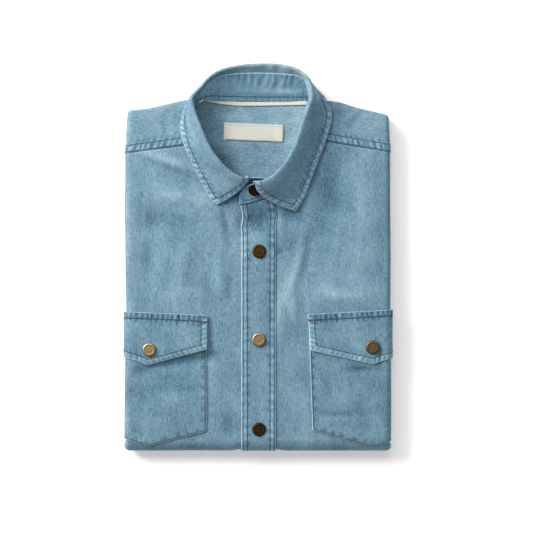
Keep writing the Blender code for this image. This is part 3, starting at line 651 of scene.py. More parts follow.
# Collar sections, from the end that lies below at the front, round the back, to the end that laps over it.
# base: the neck seam. top: the stand at the leaf seam. roll: the crest of the leaf. edge: its free edge.
Section = namedtuple("Section", "base top roll edge")
COLLAR = [Section(*row) for row in (
    ((15, 67.5, 21.4), (13, 78, 29.6), None, None),
    ((2, 66.5, 21.2), (1, 79.4, 32.1), None, None),
    ((-10, 66, 21.2), (-9.5, 79.2, 33), (-8, 79.8, 37.8), (-41.5, 52.3, 24.2)),
    ((-18, 64.5, 21.2), (-15.8, 77.4, 34), (-14.8, 78.6, 39.1), (-46, 55.8, 24.2)),
    ((-30, 60.8, 21.4), (-25, 80.8, 35.2), (-24, 82.3, 40.4), (-52, 65, 24.2)),
    ((-44, 67, 21.7), (-36, 89.8, 35.6), (-35, 91.8, 40.7), (-58.5, 77.5, 24.2)),
    ((-56, 81, 21.8), (-46.9, 103.1, 35.8), (-45.9, 105.3, 40.9), (-66, 92.5, 24.2)),
    ((-65, 97, 21.8), (-53.9, 118, 35.8), (-53.4, 120.3, 41), (-73, 108.5, 24.2)),
    ((-70, 113.5, 21.5), (-59.6, 133.1, 35.6), (-59.6, 135.1, 41), (-77, 124, 24.2)),
    ((-71, 130, 21), (-63.3, 146.9, 35.2), (-64.1, 148.4, 40.9), (-76.5, 140.1, 24)),
    ((-65.5, 148.5, 20), (-62.7, 157.2, 34.8), (-65.2, 158.5, 40.8), (-68.6, 158.6, 22)),
    ((-56, 156.6, 19.4), (-54.6, 167.8, 34.6), (-57.3, 167.8, 40.5), (-61.3, 167.2, 10)),
    ((-46, 158.3, 19.2), (-45.7, 176.1, 35), (-47.2, 179.2, 40.8), (-49.2, 178.6, 4.5)),
    ((-34, 158.4, 19.2), (-33.8, 181.2, 35.4), (-34.1, 186.4, 41), (-35.3, 184, 3)),
    ((-14, 158.2, 19.2), (-14, 183.3, 35.6), (-14, 190.3, 41.1), (-14.5, 187.5, 2.5)),
    ((6, 158, 19.2), (6, 183.4, 35.6), (6, 191.4, 41.2), (6, 188.5, 2.5)),
    ((26, 157.6, 19.2), (26, 182.5, 35.5), (25.5, 190.2, 41.1), (26, 187, 2.6)),
    ((40, 157, 19.2), (40, 180.5, 35.2), (39.5, 186, 41), (41, 183.6, 3.2)),
    ((50, 155.4, 19.3), (47.6, 175.3, 34.9), (48.8, 178.1, 40.9), (52.1, 175.7, 5)),
    ((58, 150.8, 19.8), (50.1, 166.4, 34.6), (52.9, 167.9, 40.6), (60.7, 166.8, 9.5)),
    ((63.3, 143.8, 20.4), (50.7, 156.7, 34.8), (53.3, 157.4, 40.8), (67.5, 158.9, 21.8)),
    ((65.6, 133, 21.2), (46.9, 145.9, 35.3), (49.2, 146.4, 41), (73.6, 145.8, 23.9)),
    ((65.3, 120, 21.6), (43, 133.1, 35.7), (45, 133.8, 41.1), (72.4, 131.2, 24.2)),
    ((61.5, 106, 21.8), (39, 119.2, 35.9), (40.7, 120, 41.1), (67.5, 115, 24.3)),
    ((55.5, 92.5, 21.8), (33.4, 104.9, 36), (34.9, 105.9, 41.1), (60.5, 97, 24.3)),
    ((46, 79, 21.9), (25.8, 91.4, 36), (26.9, 92.6, 41), (53.5, 77.5, 24.3)),
    ((33, 68.5, 22.2), (13.7, 79, 35.8), (14.7, 80.1, 40.9), (47.5, 62, 24.3)),
    ((18, 61.8, 22.8), (2.6, 73.9, 35.6), (3.4, 74.9, 40.7), (42, 51.5, 24.3)),
    ((6, 58.6, 23), (-4.3, 73.2, 33.7), (-4.6, 74.3, 38.4), (38.3, 46, 24.3)),
    ((-7, 54.6, 23), (-13, 70, 30.3), None, None),
    ((-18.6, 52.4, 23), (-18.4, 62, 26.6), None, None),
)]
LEAF_FIRST = 2
LEAF_LAST = len(COLLAR) - 3
RIGHT_SPAN = (1.0, 10.4)
LEFT_SPAN = (29.0, 19.6)

# Yoke seam in front, where it leaves the neck and where it reaches the side.
SeamRow = namedtuple("SeamRow", "side neck_x neck_y side_x side_y")
YOKE_SEAM = (
    SeamRow(-1, 72.0, 111.9, 132.0, 104.2),
    SeamRow(1, 67.0, 115.9, 132.0, 105.2),
)


def section_curve(column, t):
    """Smooth curve through one column of the collar sections; t counts sections."""
    first = LEAF_FIRST if column in ("roll", "edge") else 0
    last = LEAF_LAST if column in ("roll", "edge") else len(COLLAR) - 1
    i = min(max(int(t), first), last - 1)
    f = t - i
    a, b, c, d = (
        Vector(getattr(COLLAR[min(max(k, first), last)], column)) for k in (i - 1, i, i + 1, i + 2)
    )
    return 0.5 * (2 * b + (c - a) * f + (2 * a - 5 * b + 4 * c - d) * f**2 + (3 * b - a - 3 * c + d) * f**3)


def outward(column, t):
    """Level direction away from the neck's middle, square to a column of the collar sections."""
    run = section_curve(column, t + 0.05) - section_curve(column, t - 0.05)
    return Vector((-run.y, run.x, 0)).normalized()


def neck_edge(span, clear):
    """The body's neck edge as seen from above, clear of the stand's base on its outer side."""
    turns = [mix(span[0], span[1], k / NECK_STEPS) for k in range(NECK_STEPS + 1)]
    return [section_curve("base", t) + outward("base", t) * clear for t in turns]


def cross_at(points, by, value):
    """Where a line of points passes a value of x (by 0) or of y (by 1): the other one there."""
    for a, b in zip(points, points[1:]):
        if min(a[by], b[by]) <= value <= max(a[by], b[by]) and a[by] != b[by]:
            return mix(a[1 - by], b[1 - by], (value - a[by]) / (b[by] - a[by]))
    return points[-1][1 - by]


def side_seam_y(row, u):
    """Height of the yoke seam at a distance u from the middle line."""
    slope = (row.side_y - row.neck_y) / (row.side_x - row.neck_x)
    return row.neck_y + slope * (abs(u) - row.neck_x)


RIGHT_NECK = neck_edge(RIGHT_SPAN, NECK_CLEAR)
LEFT_NECK = neck_edge(LEFT_SPAN, NECK_CLEAR)

# A sewn edge: its points, how far in its stitch rows lie, how high the band up to the last row puckers, how
# deep the dents beyond it are and how far they reach, how far apart the puckers are and how they slant, and
# how much paler than the rest of the cloth the band is worn.
Seam = namedtuple("Seam", "points rows band dents reach pitch slant seed worn", defaults=(0.0,))
MARK_STEP = 0.7

# Puckers drift and swell along a seam, by lengths counted in puckers. The dents start just beyond the band.
DRIFT, DRIFT_LENGTH = 0.5, 1.9
SWELL_MIDDLE, SWELL, SWELL_LENGTH = 0.85, 0.8, 2.3
BAND_ROUND = 0.7
BAND_FULL = 3.0
DENT_FROM, DENT_LOW, DENT_START = 0.35, 0.15, 1.2
# Dents are made darker: partly dye that washing leaves there, partly painted shade.
DENT_DYE_AND_SHADE = 0.9
WORN_END = 1.5


def dense(points):
    """The points of a line again, a small step apart, with their running lengths."""
    found, run = [], 0.0
    for a, b in zip(points, points[1:]):
        length = (b - a).length
        count = max(1, round(length / MARK_STEP))
        found += [(a.lerp(b, k / count), run + length * k / count) for k in range(count)]
        run += length
    return found + [(points[-1], run)]


def tree_of(points):
    tree = KDTree(len(points))
    for index, point in enumerate(points):
        tree.insert(point, index)
    tree.balance()
    return tree


def seam_bump(run, pitch, seed):
    """Uneven puckers along a seam, from about -1 in a dent to 1 on a bump."""
    phase = run / pitch + ripple(Wave(DRIFT_LENGTH * pitch, 1, 0, DRIFT), run, seed)
    swell = SWELL_MIDDLE + ripple(Wave(SWELL_LENGTH * pitch, 1, 5, SWELL), run, seed)
    return swell * math.cos(2 * math.pi * phase)


def pucker(seam, run, away):
    """Height and paleness of the puckers at a distance from the sewn edge. Bumps are paler and dents darker:
    partly wash fade, partly painted light and shade.
    """
    bump = seam_bump(run + seam.slant * away, seam.pitch, seam.seed)
    inset = seam.rows[-1]
    if away < inset:
        window = math.sin(math.pi * away / inset) ** BAND_ROUND if seam.band else 0.0
        return seam.band * window * bump, min(1.0, BAND_FULL * seam.band) * window * bump + seam.worn
    beyond = away - inset
    spread = math.exp(-((beyond / seam.reach - DENT_FROM) ** 2))
    dent = min(bump - DENT_LOW, 0.0) * spread * ease(beyond / DENT_START)
    worn = DENT_DYE_AND_SHADE * dent * min(1.0, BAND_FULL * seam.dents) + seam.worn * (1 - ease(beyond / WORN_END))
    return seam.dents * dent, worn


def pucker_cloth(cloth, seams):
    """Puckers the cloth along its seams and marks how far each point is from its edge and its stitch row."""
    marks = [(point, run, seam) for seam in seams for point, run in dense(seam.points)]
    tree = tree_of([point for point, _, _ in marks])
    moves = []
    for vert in cloth.bm.verts:
        _, index, away = tree.find(vert.co)
        _, run, seam = marks[index]
        vert[cloth.rim] = min(away, FAR_FROM_RIM)
        vert[cloth.row] = min(away, FAR_FROM_RIM) - seam.rows[-1]
        height, worn = pucker(seam, run, away)
        vert[cloth.pale_map] += worn
        moves.append(vert.normal * height)
    for vert, move in zip(cloth.bm.verts, moves):
        vert.co += move
    cloth.bm.normal_update()


THREAD_R = 0.42
THREAD_FLATTENING = 0.8
THREAD_SIDES, THREAD_RINGS = 6, 4
THREAD_ABOVE = 0.08
STITCH_PITCH = 3.1
STITCH_LENGTH = 2.5
LONGEST_STEP = 4.0
CORNER_SLACK = 0.35
THREAD_WEAR_SCALE, THREAD_TWIST_SCALE = 260.0, 3200.0
THREAD_DARK = (0.028, 0.052, 0.084)
THREAD_LIGHT = (0.090, 0.138, 0.190)


def stitch_path(surface, points, inset):
    """The line on the cloth that runs at an inset from its edge."""
    edge = [point for point, _ in dense(points)]
    tree = tree_of(edge)
    path = []
    for k, point in enumerate(edge):
        run = edge[min(k + 1, len(edge) - 1)] - edge[max(k - 1, 0)]
        across = surface.find_nearest(point)[1].cross(run).normalized() * inset
        inner = min((point + across, point - across), key=lambda spot: surface.find_nearest(spot)[3])
        place, normal, _, _ = surface.find_nearest(inner)
        if tree.find(place)[2] > inset - CORNER_SLACK:
            path.append((place, normal))
    return path


def lay_stitches(thread, path, above):
    """Lays stitches end to end along a path, each a small rounded length of thread."""
    run, due = 0.0, 0.5 * STITCH_PITCH
    for (a, normal), (b, _) in zip(path, path[1:]):
        step = b - a
        if not 0 < step.length < LONGEST_STEP:
            continue
        while run + step.length > due:
            middle = a + step * ((due - run) / step.length) + normal * above
            add_stitch(thread, middle, step.normalized(), normal, STITCH_LENGTH, THREAD_R)
            due += STITCH_PITCH
        run += step.length


def add_stitch(thread, middle, lay, normal, length, radius):
    side = normal.cross(lay).normalized()
    axes = side * radius, normal * radius * THREAD_FLATTENING, lay * length / 2
    turn = Matrix(axes).transposed().to_4x4()
    turn.translation = middle
    bmesh.ops.create_uvsphere(
        thread, u_segments=THREAD_SIDES, v_segments=THREAD_RINGS, radius=1, matrix=turn
    )


def thread_material(name, dark, light):
    """Twisted polyester thread, a little faded in places."""
    material, tree = new_material(name)
    place = object_place(tree)
    colour = ramp(tree, spots(tree, place, THREAD_WEAR_SCALE, 2.0), (0.3, dark), (0.7, light))
    twist = spots(tree, place, THREAD_TWIST_SCALE, 1.0)
    sockets = {"Base Color": colour, "Roughness": 0.6, "Specular IOR Level": 0.3}
    finish_look(tree, twist, 0.4, 0.00005, sockets)
    return material


blue_thread = thread_material("blue_sewing_thread", THREAD_DARK, THREAD_LIGHT)


def sew(name, cloth, seams, wall, both_faces=False, material=blue_thread):
    """Puckers the cloth and lays its stitches, as one piece. A row below 0 is hidden in a seam."""
    pucker_cloth(cloth, seams)
    surface = BVHTree.FromBMesh(cloth.bm)
    thread = bmesh.new()
    for seam in seams:
        for inset in [inset for inset in seam.rows if inset > 0]:
            path = stitch_path(surface, seam.points, inset)
            lay_stitches(thread, path, wall / 2 + THREAD_ABOVE)
            if both_faces:
                lay_stitches(thread, path, -wall / 2 - THREAD_ABOVE)
    return finish_piece(name, thread, material)


def make_front(node, seam, neck):
    """One front: from the neck edge and the yoke seam, round the bottom fold, to the hem underneath."""
    side = seam.side
    corner = abs(cross_at(neck, 1, seam.neck_y))
    columns, rows = FRONT_COLUMNS + FRONT_TURNS, FRONT_ROWS + BEND_ROWS + TAIL_ROWS

    def u_at(column, v):
        if column <= FRONT_COLUMNS:
            return side * mix(GAP / 2, half_width(side, v), column / FRONT_COLUMNS)
        return side * (half_width(side, v) + FRONT_WRAP * (column - FRONT_COLUMNS) / FRONT_TURNS * FOLD_R)

    def top_length(u):
        if abs(u) < corner:
            return along(cross_at(neck, 0, u))
        return along(side_seam_y(seam, u) - GAP)

    def place(column, row):
        v = body_length(row, FRONT_ROWS, top_length(u_at(column, START_Y - seam.side_y)))
        u = u_at(column, v)
        return body_point(u, v, -BODY_WALL / 2), u, v, wear_and_painted_shading(u, v)

    front = Cloth(columns, rows, place, face_down=side > 0)
    hem_edge = front.line((0, rows), (columns, rows))
    hem = [Seam(hem_edge, HEM_ROWS, 0.2, 0.25, 4, 8, 0.4, 3 * side)]
    thread = sew(node + "_hem_stitches", front, hem, BODY_WALL)
    cloth = denim(node + "_denim", doubled=HEM_ROWS[1] - HEM_ROWS[0], seed=2.0 + side)
    piece = finish_piece(node + "_panel", front.bm, cloth, node, BODY_WALL)


def body_length(row, top_rows, top):
    """Length along the front of a row of the grid: from the top, round the bottom fold, to the hem."""
    if row <= top_rows:
        return mix(top, BEND_START, row / top_rows)
    if row <= top_rows + BEND_ROWS:
        return BEND_START + BEND_LENGTH * (row - top_rows) / BEND_ROWS
    return mix(BEND_START + BEND_LENGTH, HEM, (row - top_rows - BEND_ROWS) / TAIL_ROWS)


make_front("front_right", YOKE_SEAM[0], RIGHT_NECK)
make_front("front_left", YOKE_SEAM[1], LEFT_NECK)

# ------------------------------------------------------------
# YOKE. One piece over both shoulders, cut across the grain, so its slubs run from side to side. Its front
# edges are turned in and felled over the fronts with two rows of stitches; it turns over the shoulders in a
# tight fold, and its back half shows inside the neck.
# ------------------------------------------------------------
YOKE_STEP = 2.5
YOKE_LOW_Y = 60.0
YOKE_WRAP = math.radians(140)
YOKE_TURNS = 8
YOKE_FLAT_COLUMNS = 34
YOKE_NECK_COLUMNS = 60
YOKE_OUTER = YOKE_TURNS + YOKE_FLAT_COLUMNS
YOKE_COLUMNS = 2 * YOKE_OUTER + YOKE_NECK_COLUMNS
YOKE_FRONT_ROWS = 27
YOKE_LIP_ROWS = 8
YOKE_BACK_ROWS = 46
YOKE_STITCH_ROWS = (0.9, 7.2)
FELL_RISE = 0.55
FELL_END = 1.5
INSIDE_WAVE = Wave(20, 18, 9, 0.3)
BACK_SPAN = (10.4, 19.6)
BACK_NECK_CLEAR = 0.5
BACK_NECK = neck_edge(BACK_SPAN, -BACK_NECK_CLEAR)
# Inside the neck, per mm of crease height: paler ridges, darker troughs, partly abrasion and partly painted
# light and shade.
INSIDE_WEAR_AND_SHADING = 0.3
INSIDE_CREASES = [Crease(*row) for row in (
    (-5, 112, 5, 104.5, 2.6, -1.3),
    (-9, 116, -1, 106, 3.0, 0.4),
    (-40, 138, -30, 120, 6.0, -0.4),
    (24, 108, 34, 126, 6.0, -0.4),
    (4, 96, 16, 88, 5.0, 0.5),
    (-24, 96, -14, 88, 5.0, -0.4),
    (50, 152, 34, 104, 11.0, 2.2),
    (-50, 150, -26, 104, 8.0, -0.7),
    (-36, 148, -20, 142, 6.0, -1.4),
    (4, 148, 34, 147, 5.0, 0.8),
    (-4, 98, 6, 84, 13.0, -1.1),
    (-44, 106, -24, 82, 6.0, -1.6),
    (8, 112, 32, 104, 6.0, -1.1),
    (22, 140, 26, 112, 7.0, 0.9),
)]


def inside_drape(u, v):
    """Creases of the yoke's back half, seen inside the neck."""
    return folds(INSIDE_CREASES, u, v) + ripple(INSIDE_WAVE, u, START_Y - v)


def yoke_place(column, row):
    side = -1 if column <= YOKE_COLUMNS // 2 else 1
    steps_in = column if side < 0 else YOKE_COLUMNS - column
    inside_neck = YOKE_OUTER <= column <= YOKE_COLUMNS - YOKE_OUTER
    seam = YOKE_SEAM[0 if side < 0 else 1]
    lip = YOKE_STEP / 2

    def u_at(v):
        flat, y = side * half_width(side, v), START_Y - v
        if steps_in <= YOKE_TURNS:
            return flat + side * YOKE_WRAP * (1 - steps_in / YOKE_TURNS) * FOLD_R
        if steps_in < YOKE_OUTER:
            reach = cross_at(RIGHT_NECK if side < 0 else LEFT_NECK, 1, y)
            return mix(flat, reach, (steps_in - YOKE_TURNS) / YOKE_FLAT_COLUMNS)
        part = (column - YOKE_OUTER) / YOKE_NECK_COLUMNS
        return mix(cross_at(RIGHT_NECK, 1, y), cross_at(LEFT_NECK, 1, y), part)

    def lay(u, v, depth, rise=0.0):
        part = depth / YOKE_STEP
        lift = rise - shoulder_drop(u, v) - depth - BODY_WALL / 2
        lift += (inside_drape(u, v) - drape(u, v)) * part
        worn = mix(wear_and_painted_shading(u, v), INSIDE_WEAR_AND_SHADING * folds(INSIDE_CREASES, u, v), part)
        return body_point(u, v, lift), v, u, worn

    fold_v = START_Y - read_table(SHOULDER, "y", u_at(0.0), "x") + lip
    back_start = START_Y - cross_at(BACK_NECK, 0, u_at(fold_v)) if inside_neck else fold_v
    if row < YOKE_FRONT_ROWS:
        seam_v = START_Y - side_seam_y(seam, u_at(START_Y - seam.side_y))
        v = mix(seam_v, fold_v, row / YOKE_FRONT_ROWS)
        return lay(u_at(v), v, 0.0, FELL_RISE * (1 - ease((seam_v - v - YOKE_STITCH_ROWS[1]) / FELL_END)))
    if row < YOKE_FRONT_ROWS + YOKE_LIP_ROWS:
        turn = math.pi * (row - YOKE_FRONT_ROWS) / YOKE_LIP_ROWS
        v = fold_v - lip * math.sin(turn)
        return lay(u_at(v), v, lip * (1 - math.cos(turn)))
    part = (row - YOKE_FRONT_ROWS - YOKE_LIP_ROWS) / YOKE_BACK_ROWS
    return lay(u_at(fold_v), mix(back_start, START_Y - YOKE_LOW_Y, part), YOKE_STEP)


def yoke_skip(column, row):
    if row > YOKE_FRONT_ROWS + YOKE_LIP_ROWS:
        return column < YOKE_TURNS or column > YOKE_COLUMNS - YOKE_TURNS
    return YOKE_OUTER < column < YOKE_COLUMNS - YOKE_OUTER


yoke = Cloth(YOKE_COLUMNS, YOKE_FRONT_ROWS + YOKE_LIP_ROWS + YOKE_BACK_ROWS, yoke_place, skip=yoke_skip)
right_seam = yoke.line((0, 0), (YOKE_OUTER, 0))
left_seam = yoke.line((YOKE_COLUMNS - YOKE_OUTER, 0), (YOKE_COLUMNS, 0))
yoke_seams = [
    Seam(right_seam, YOKE_STITCH_ROWS, 0.5, 0.4, 3, 6.2, -0.55, 1, -0.2),
    Seam(left_seam, YOKE_STITCH_ROWS, 0.5, 0.4, 3, 5.6, 0.55, 2, -0.2),
]
yoke_thread = sew("yoke_stitches", yoke, yoke_seams, BODY_WALL)
yoke_cloth = denim(
    "yoke_denim", doubled=YOKE_STITCH_ROWS[1] - YOKE_STITCH_ROWS[0], seed=5, tone=0.05, groove=0.35
)
yoke_piece = finish_piece("yoke_panel", yoke.bm, yoke_cloth, "yoke", BODY_WALL)

# ------------------------------------------------------------
# PLACKET. A folded strip of denim, 35 mm wide, sewn down the left front's edge with two rows of stitches on
# each side. It laps over the right front from the collar stand down, and goes round the bottom fold.
# ------------------------------------------------------------
PATCH_WALL = 1.0
PLACKET_COLUMNS = 20
PLACKET_ROWS = 130
PLACKET_STITCH_ROWS = (1.7, 5.9)
EdgeRow = namedtuple("EdgeRow", "y right left")
PLACKET_EDGES = (
    EdgeRow(-500, -16.6, 17.8),
    EdgeRow(22, -16.6, 17.9),
    EdgeRow(31, -17.2, 18.1),
    EdgeRow(40, -15.5, 18.9),
    EdgeRow(46, -16.4, 18.4),
    EdgeRow(56, -18.4, 16.2),
)
PLACKET_TOP_RIGHT = 51.3
PLACKET_TOP_LEFT = 60.4


def placket_place(column, row):
    part = column / PLACKET_COLUMNS
    top = mix(PLACKET_TOP_LEFT, PLACKET_TOP_RIGHT, part)
    v = body_length(row, PLACKET_ROWS, along(top))
    y = START_Y - v
    u = mix(read_table(PLACKET_EDGES, "left", y, "y"), read_table(PLACKET_EDGES, "right", y, "y"), part)
    return body_point(u, v, GAP + PATCH_WALL / 2), u, v, wear_and_painted_shading(u, v)


placket = Cloth(PLACKET_COLUMNS, PLACKET_ROWS + BEND_ROWS + TAIL_ROWS, placket_place)
sewn_edge = placket.line((0, 0), (0, placket.rows))
free_edge = placket.line((PLACKET_COLUMNS, 0), (PLACKET_COLUMNS, placket.rows))
placket_seams = [
    Seam(free_edge, PLACKET_STITCH_ROWS, 0.14, 0.28, 2.2, 8.4, 0.1, 7, 0.3),
    Seam(sewn_edge, PLACKET_STITCH_ROWS, 0.18, 0.2, 2.2, 9.2, 0.2, 8, 0.1),
]
placket_thread = sew("placket_stitches", placket, placket_seams, PATCH_WALL)
placket_cloth = denim(
    "placket_denim", doubled=PLACKET_STITCH_ROWS[1] - PLACKET_STITCH_ROWS[0], rim_fade=0.4, seed=9, groove=0.5
)
placket_piece = finish_piece("placket_strip", placket.bm, placket_cloth, "placket", PATCH_WALL, 1)

# ------------------------------------------------------------
# CHEST POCKETS. Two denim patches with a pointed lower edge, edges turned in, each sewn to its front close to
# the edge. Their outer sides go round the side folds.
# ------------------------------------------------------------
PATCH_WRAP = math.radians(120)
TO_TIP_COLUMNS = 34
TO_FOLD_COLUMNS = 10
PATCH_TURNS = 7
PATCH_COLUMNS = TO_TIP_COLUMNS + TO_FOLD_COLUMNS + PATCH_TURNS
POCKET_ROWS = 64
POCKET_STITCH_ROWS = (1.5,)
POCKET_LIFT = 0.25
POCKET_LIFT_END = 14.0

# x is counted outwards from the middle. outer_rise is how much steeper the lower edge rises outside its tip.
PatchRow = namedtuple(
    "PatchRow", "name side top_x low_x tip_x top_y outer_top_y low_y tip_y outer_rise"
)
POCKETS = (
    PatchRow("pocket_right", -1, 51.5, 51.2, 110.1, -73.0, -71.0, -174.6, -189.0, 1.2),
    PatchRow("pocket_left", 1, 50.9, 54.3, 112.9, -73.0, -71.0, -173.5, -190.4, 1.0),
)


def patch_place(shape, rows, lift, column, row):
    """A point of a pocket or flap: columns go outwards from the inner edge, rows up from the lower edge."""

    def u_at(v):
        t = (v - along(shape.top_y)) / (along(shape.low_y) - along(shape.top_y))
        inner, flat = mix(shape.top_x, shape.low_x, min(max(t, 0.0), 1.0)), half_width(shape.side, v)
        if column <= TO_TIP_COLUMNS:
            return shape.side * mix(inner, shape.tip_x, column / TO_TIP_COLUMNS)
        over = column - TO_TIP_COLUMNS
        if over <= TO_FOLD_COLUMNS:
            return shape.side * mix(shape.tip_x, flat, over / TO_FOLD_COLUMNS)
        return shape.side * (flat + PATCH_WRAP * (over - TO_FOLD_COLUMNS) / PATCH_TURNS * FOLD_R)

    u = u_at(along(shape.low_y))
    out = abs(abs(u) - shape.tip_x) / (shape.tip_x - shape.low_x)
    if abs(u) > shape.tip_x:
        out *= shape.outer_rise
    low = along(mix(shape.tip_y, shape.low_y, out))
    over_top = (abs(u) - shape.top_x) / (half_width(u, along(shape.top_y)) - shape.top_x)
    top = along(mix(shape.top_y, shape.outer_top_y, over_top))
    v = mix(low, top, row / rows)
    u = u_at(v)
    return body_point(u, v, lift(u, low - v) + PATCH_WALL / 2), u, v, wear_and_painted_shading(u, v)


def make_patch(shape, rows, lift, seams_of, look):
    """Lays out, sews and finishes a pocket or a flap."""
    patch = Cloth(
        PATCH_COLUMNS, rows, lambda column, row: patch_place(shape, rows, lift, column, row),
        face_down=shape.side < 0,
    )
    around = patch.line((0, rows), (0, 0))[:-1] + patch.line((0, 0), (PATCH_COLUMNS, 0))
    seams = seams_of(patch, around)
    thread = sew(shape.name + "_stitches", patch, seams, PATCH_WALL)
    piece = finish_piece(shape.name + "_patch", patch.bm, look, shape.name, PATCH_WALL, 1)


def pocket_lift(u, from_low):
    """A pocket lies close along its sewn edges and stands a little away in its middle."""
    return GAP + POCKET_LIFT * ease(from_low / POCKET_LIFT_END)


def pocket_seams(patch, around):
    return [Seam(around, POCKET_STITCH_ROWS, 0.05, 0.6, 2.4, 10.6, 0.0, 12)]


for shape in POCKETS:
    look = denim(shape.name + "_denim", seed=13 + shape.side, tone=-0.03, rim_fade=0.5)
    front_name = "front_right_panel" if shape.side < 0 else "front_left_panel"
    make_patch(shape, POCKET_ROWS, pocket_lift, pocket_seams, look)

# ------------------------------------------------------------
# POCKET FLAPS. Pointed flaps of two layers of denim. Each is sewn down along its top edge with a row of
# stitches, a bar tack at its inner corner, and a row 6 mm in from its other edges. Its lower edge is free.
# ------------------------------------------------------------
FLAP_ROWS = 32
FLAP_STITCH_ROWS = (6.3,)
FLAP_FREE = 26.0
FLAP_LIFT = 0.5
FLAP_CORNER_LIFT = 0.9
FLAP_CORNER = (50.0, 80.0)
TACK_STEP = 0.55
TACK_WIDTH = 1.5
TACK_LEAN = 0.25
TACK_LIFT = 0.2
FLAPS = (
    PatchRow("flap_right", -1, 50.5, 50.8, 110.1, -58.1, -54.6, -92.5, -108.6, 1.4),
    PatchRow("flap_left", 1, 49.4, 52.5, 115.0, -57.4, -52.8, -93.5, -107.6, 1.5),
)
TackRow = namedtuple("TackRow", "name x y to_x to_y dark light")
TACKS = (
    TackRow("flap_right_bar_tack", -59.5, -64.3, -51.6, -64.6, (0.10, 0.035, 0.02), (0.26, 0.10, 0.06)),
    TackRow("flap_left_bar_tack", 49.6, -62.7, 58.2, -62.9, (0.045, 0.03, 0.022), (0.13, 0.09, 0.065)),
)


def flap_lift(u, from_low):
    """A flap is held down along its top and stands away from the pocket along its lower edge."""
    start, end = FLAP_CORNER
    corner = ease((end - abs(u)) / (end - start))
    free = ease(1 - from_low / FLAP_FREE)
    return PATCH_WALL + 2 * GAP + free * (FLAP_LIFT + FLAP_CORNER_LIFT * corner)


def flap_seams(patch, around):
    top = patch.line((0, FLAP_ROWS), (PATCH_COLUMNS, FLAP_ROWS))
    return [
        Seam(top, FLAP_STITCH_ROWS, 0.32, 0.35, 3.0, 5.2, -0.1, 15, -0.45),
        Seam(around, FLAP_STITCH_ROWS, 0.28, 0.25, 2.5, 5.0, -0.4, 16, 0.25),
    ]


for shape in FLAPS:
    look = denim(shape.name + "_denim", seed=17 + shape.side, tone=-0.03, rim_fade=0.45)
    rests_on = ["pocket_right_patch" if shape.side < 0 else "pocket_left_patch"]
    make_patch(shape, FLAP_ROWS, flap_lift, flap_seams, look)

for tack in TACKS:
    thread = bmesh.new()
    start, end = Vector((tack.x, tack.y)), Vector((tack.to_x, tack.to_y))
    count = round((end - start).length / TACK_STEP)
    for k in range(count + 1):
        spot = start.lerp(end, k / count)
        lean = Vector((TACK_LEAN if k % 2 else -TACK_LEAN, 1, 0)).normalized()
        middle = body_point(spot.x, along(spot.y), 2 * PATCH_WALL + 2 * GAP + TACK_LIFT)
        add_stitch(thread, middle, lean, Vector((0, 0, 1)), TACK_WIDTH, THREAD_R)
    finish_piece(tack.name, thread, thread_material(tack.name + "_thread", tack.dark, tack.light))

# ------------------------------------------------------------
# COLLAR STAND. A double strip of denim sewn to the neck edge all round, standing up behind the neck and lying
# down in front, where its left end laps over its right one.
# ------------------------------------------------------------
STAND_WALL = 1.1
STAND_STEPS = 9
STAND_ROWS = 22
FRONT_END = 27.5
BACK_FROM = 11.0
BACK_TO = 18.0
STAND_INWARD = 2.7
STAND_RISE = 1.1
STAND_ROUND = 0.7
STAND_PUCKER_PAINTED_LIGHT = 1.2
STAND_DENT = 0.5
STAND_DENT_FROM = 1.5
LAP_ROWS = (0.9, 3.4)
BASE_ROWS = (5.6,)
HIDDEN_ROWS = (-1.0,)
# Painted light and shade along the collar, by section. Behind the neck the stand's inner face and the leaf's
# underside lie in shade and are painted lighter; the stand's lapped end in front, which faces away from the
# light, is painted lighter, and its under end's edges darker, where they sit in a shadowed gap.
CollarLightRow = namedtuple("CollarLightRow", "section stand leaf")
COLLAR_PAINTED_LIGHT = [CollarLightRow(*row) for row in (
    (0, -0.7, 0.0),
    (3.5, 0.0, 0.0),
    (9.5, 0.0, 0.0),
    (11, 1.6, 0.0),
    (12, 1.35, 0.1),
    (13.2, 0.75, 0.3),
    (14.5, 0.45, 0.4),
    (16, 0.75, 0.85),
    (18, 0.8, 0.9),
    (20, 0.5, 0.4),
    (22, 0.0, 0.0),
    (26.5, 0.0, 0.0),
    (27.5, 0.6, 0.0),
    (30, 0.6, 0.0),
)]
# Puckers on the stand's inner face: lifted, and painted lighter on their ridges and darker in their dents.
STAND_PUCKERS = [Crease(*row) for row in (
    (-22, 180, -23, 173, 1.8, 0.9),
    (-19, 180, -21, 171, 1.8, -0.9),
    (-26, 180, -27, 169, 2.6, -0.8),
    (-15.5, 181, -16.5, 175, 1.6, 0.5),
    (-12.5, 180, -14, 169, 1.9, -0.9),
    (-8.5, 180, -9.5, 173, 1.9, 0.8),
    (-4.5, 180, -6, 169, 1.7, -0.8),
    (-0.5, 180, -2.5, 171, 1.9, 0.9),
    (4, 180, 1, 169, 2.0, -1.1),
    (9, 180, 7, 171, 2.0, 1.1),
    (12.5, 179, 10, 169, 1.4, -0.7),
    (16, 181, 13, 167, 1.9, 1.1),
    (21, 179, 14, 166, 2.4, -1.3),
    (26, 180, 23, 167, 2.0, 1.0),
    (29, 180, 27, 167, 1.6, -0.9),
    (32, 180, 30, 173, 1.6, 0.8),
    (35, 178, 33, 169, 2.2, -1.0),
    (40, 178, 38, 172, 1.6, 0.6),
    (4, 164.5, 42, 165, 2.6, 1.0),
)]


def lengths_of(points):
    """Running lengths of a line's points."""
    runs = [0.0]
    for a, b in zip(points, points[1:]):
        runs.append(runs[-1] + (b - a).length)
    return runs


stand_columns = STAND_STEPS * (len(COLLAR) - 1)
stand_runs = lengths_of([section_curve("base", c / STAND_STEPS) for c in range(stand_columns + 1)])


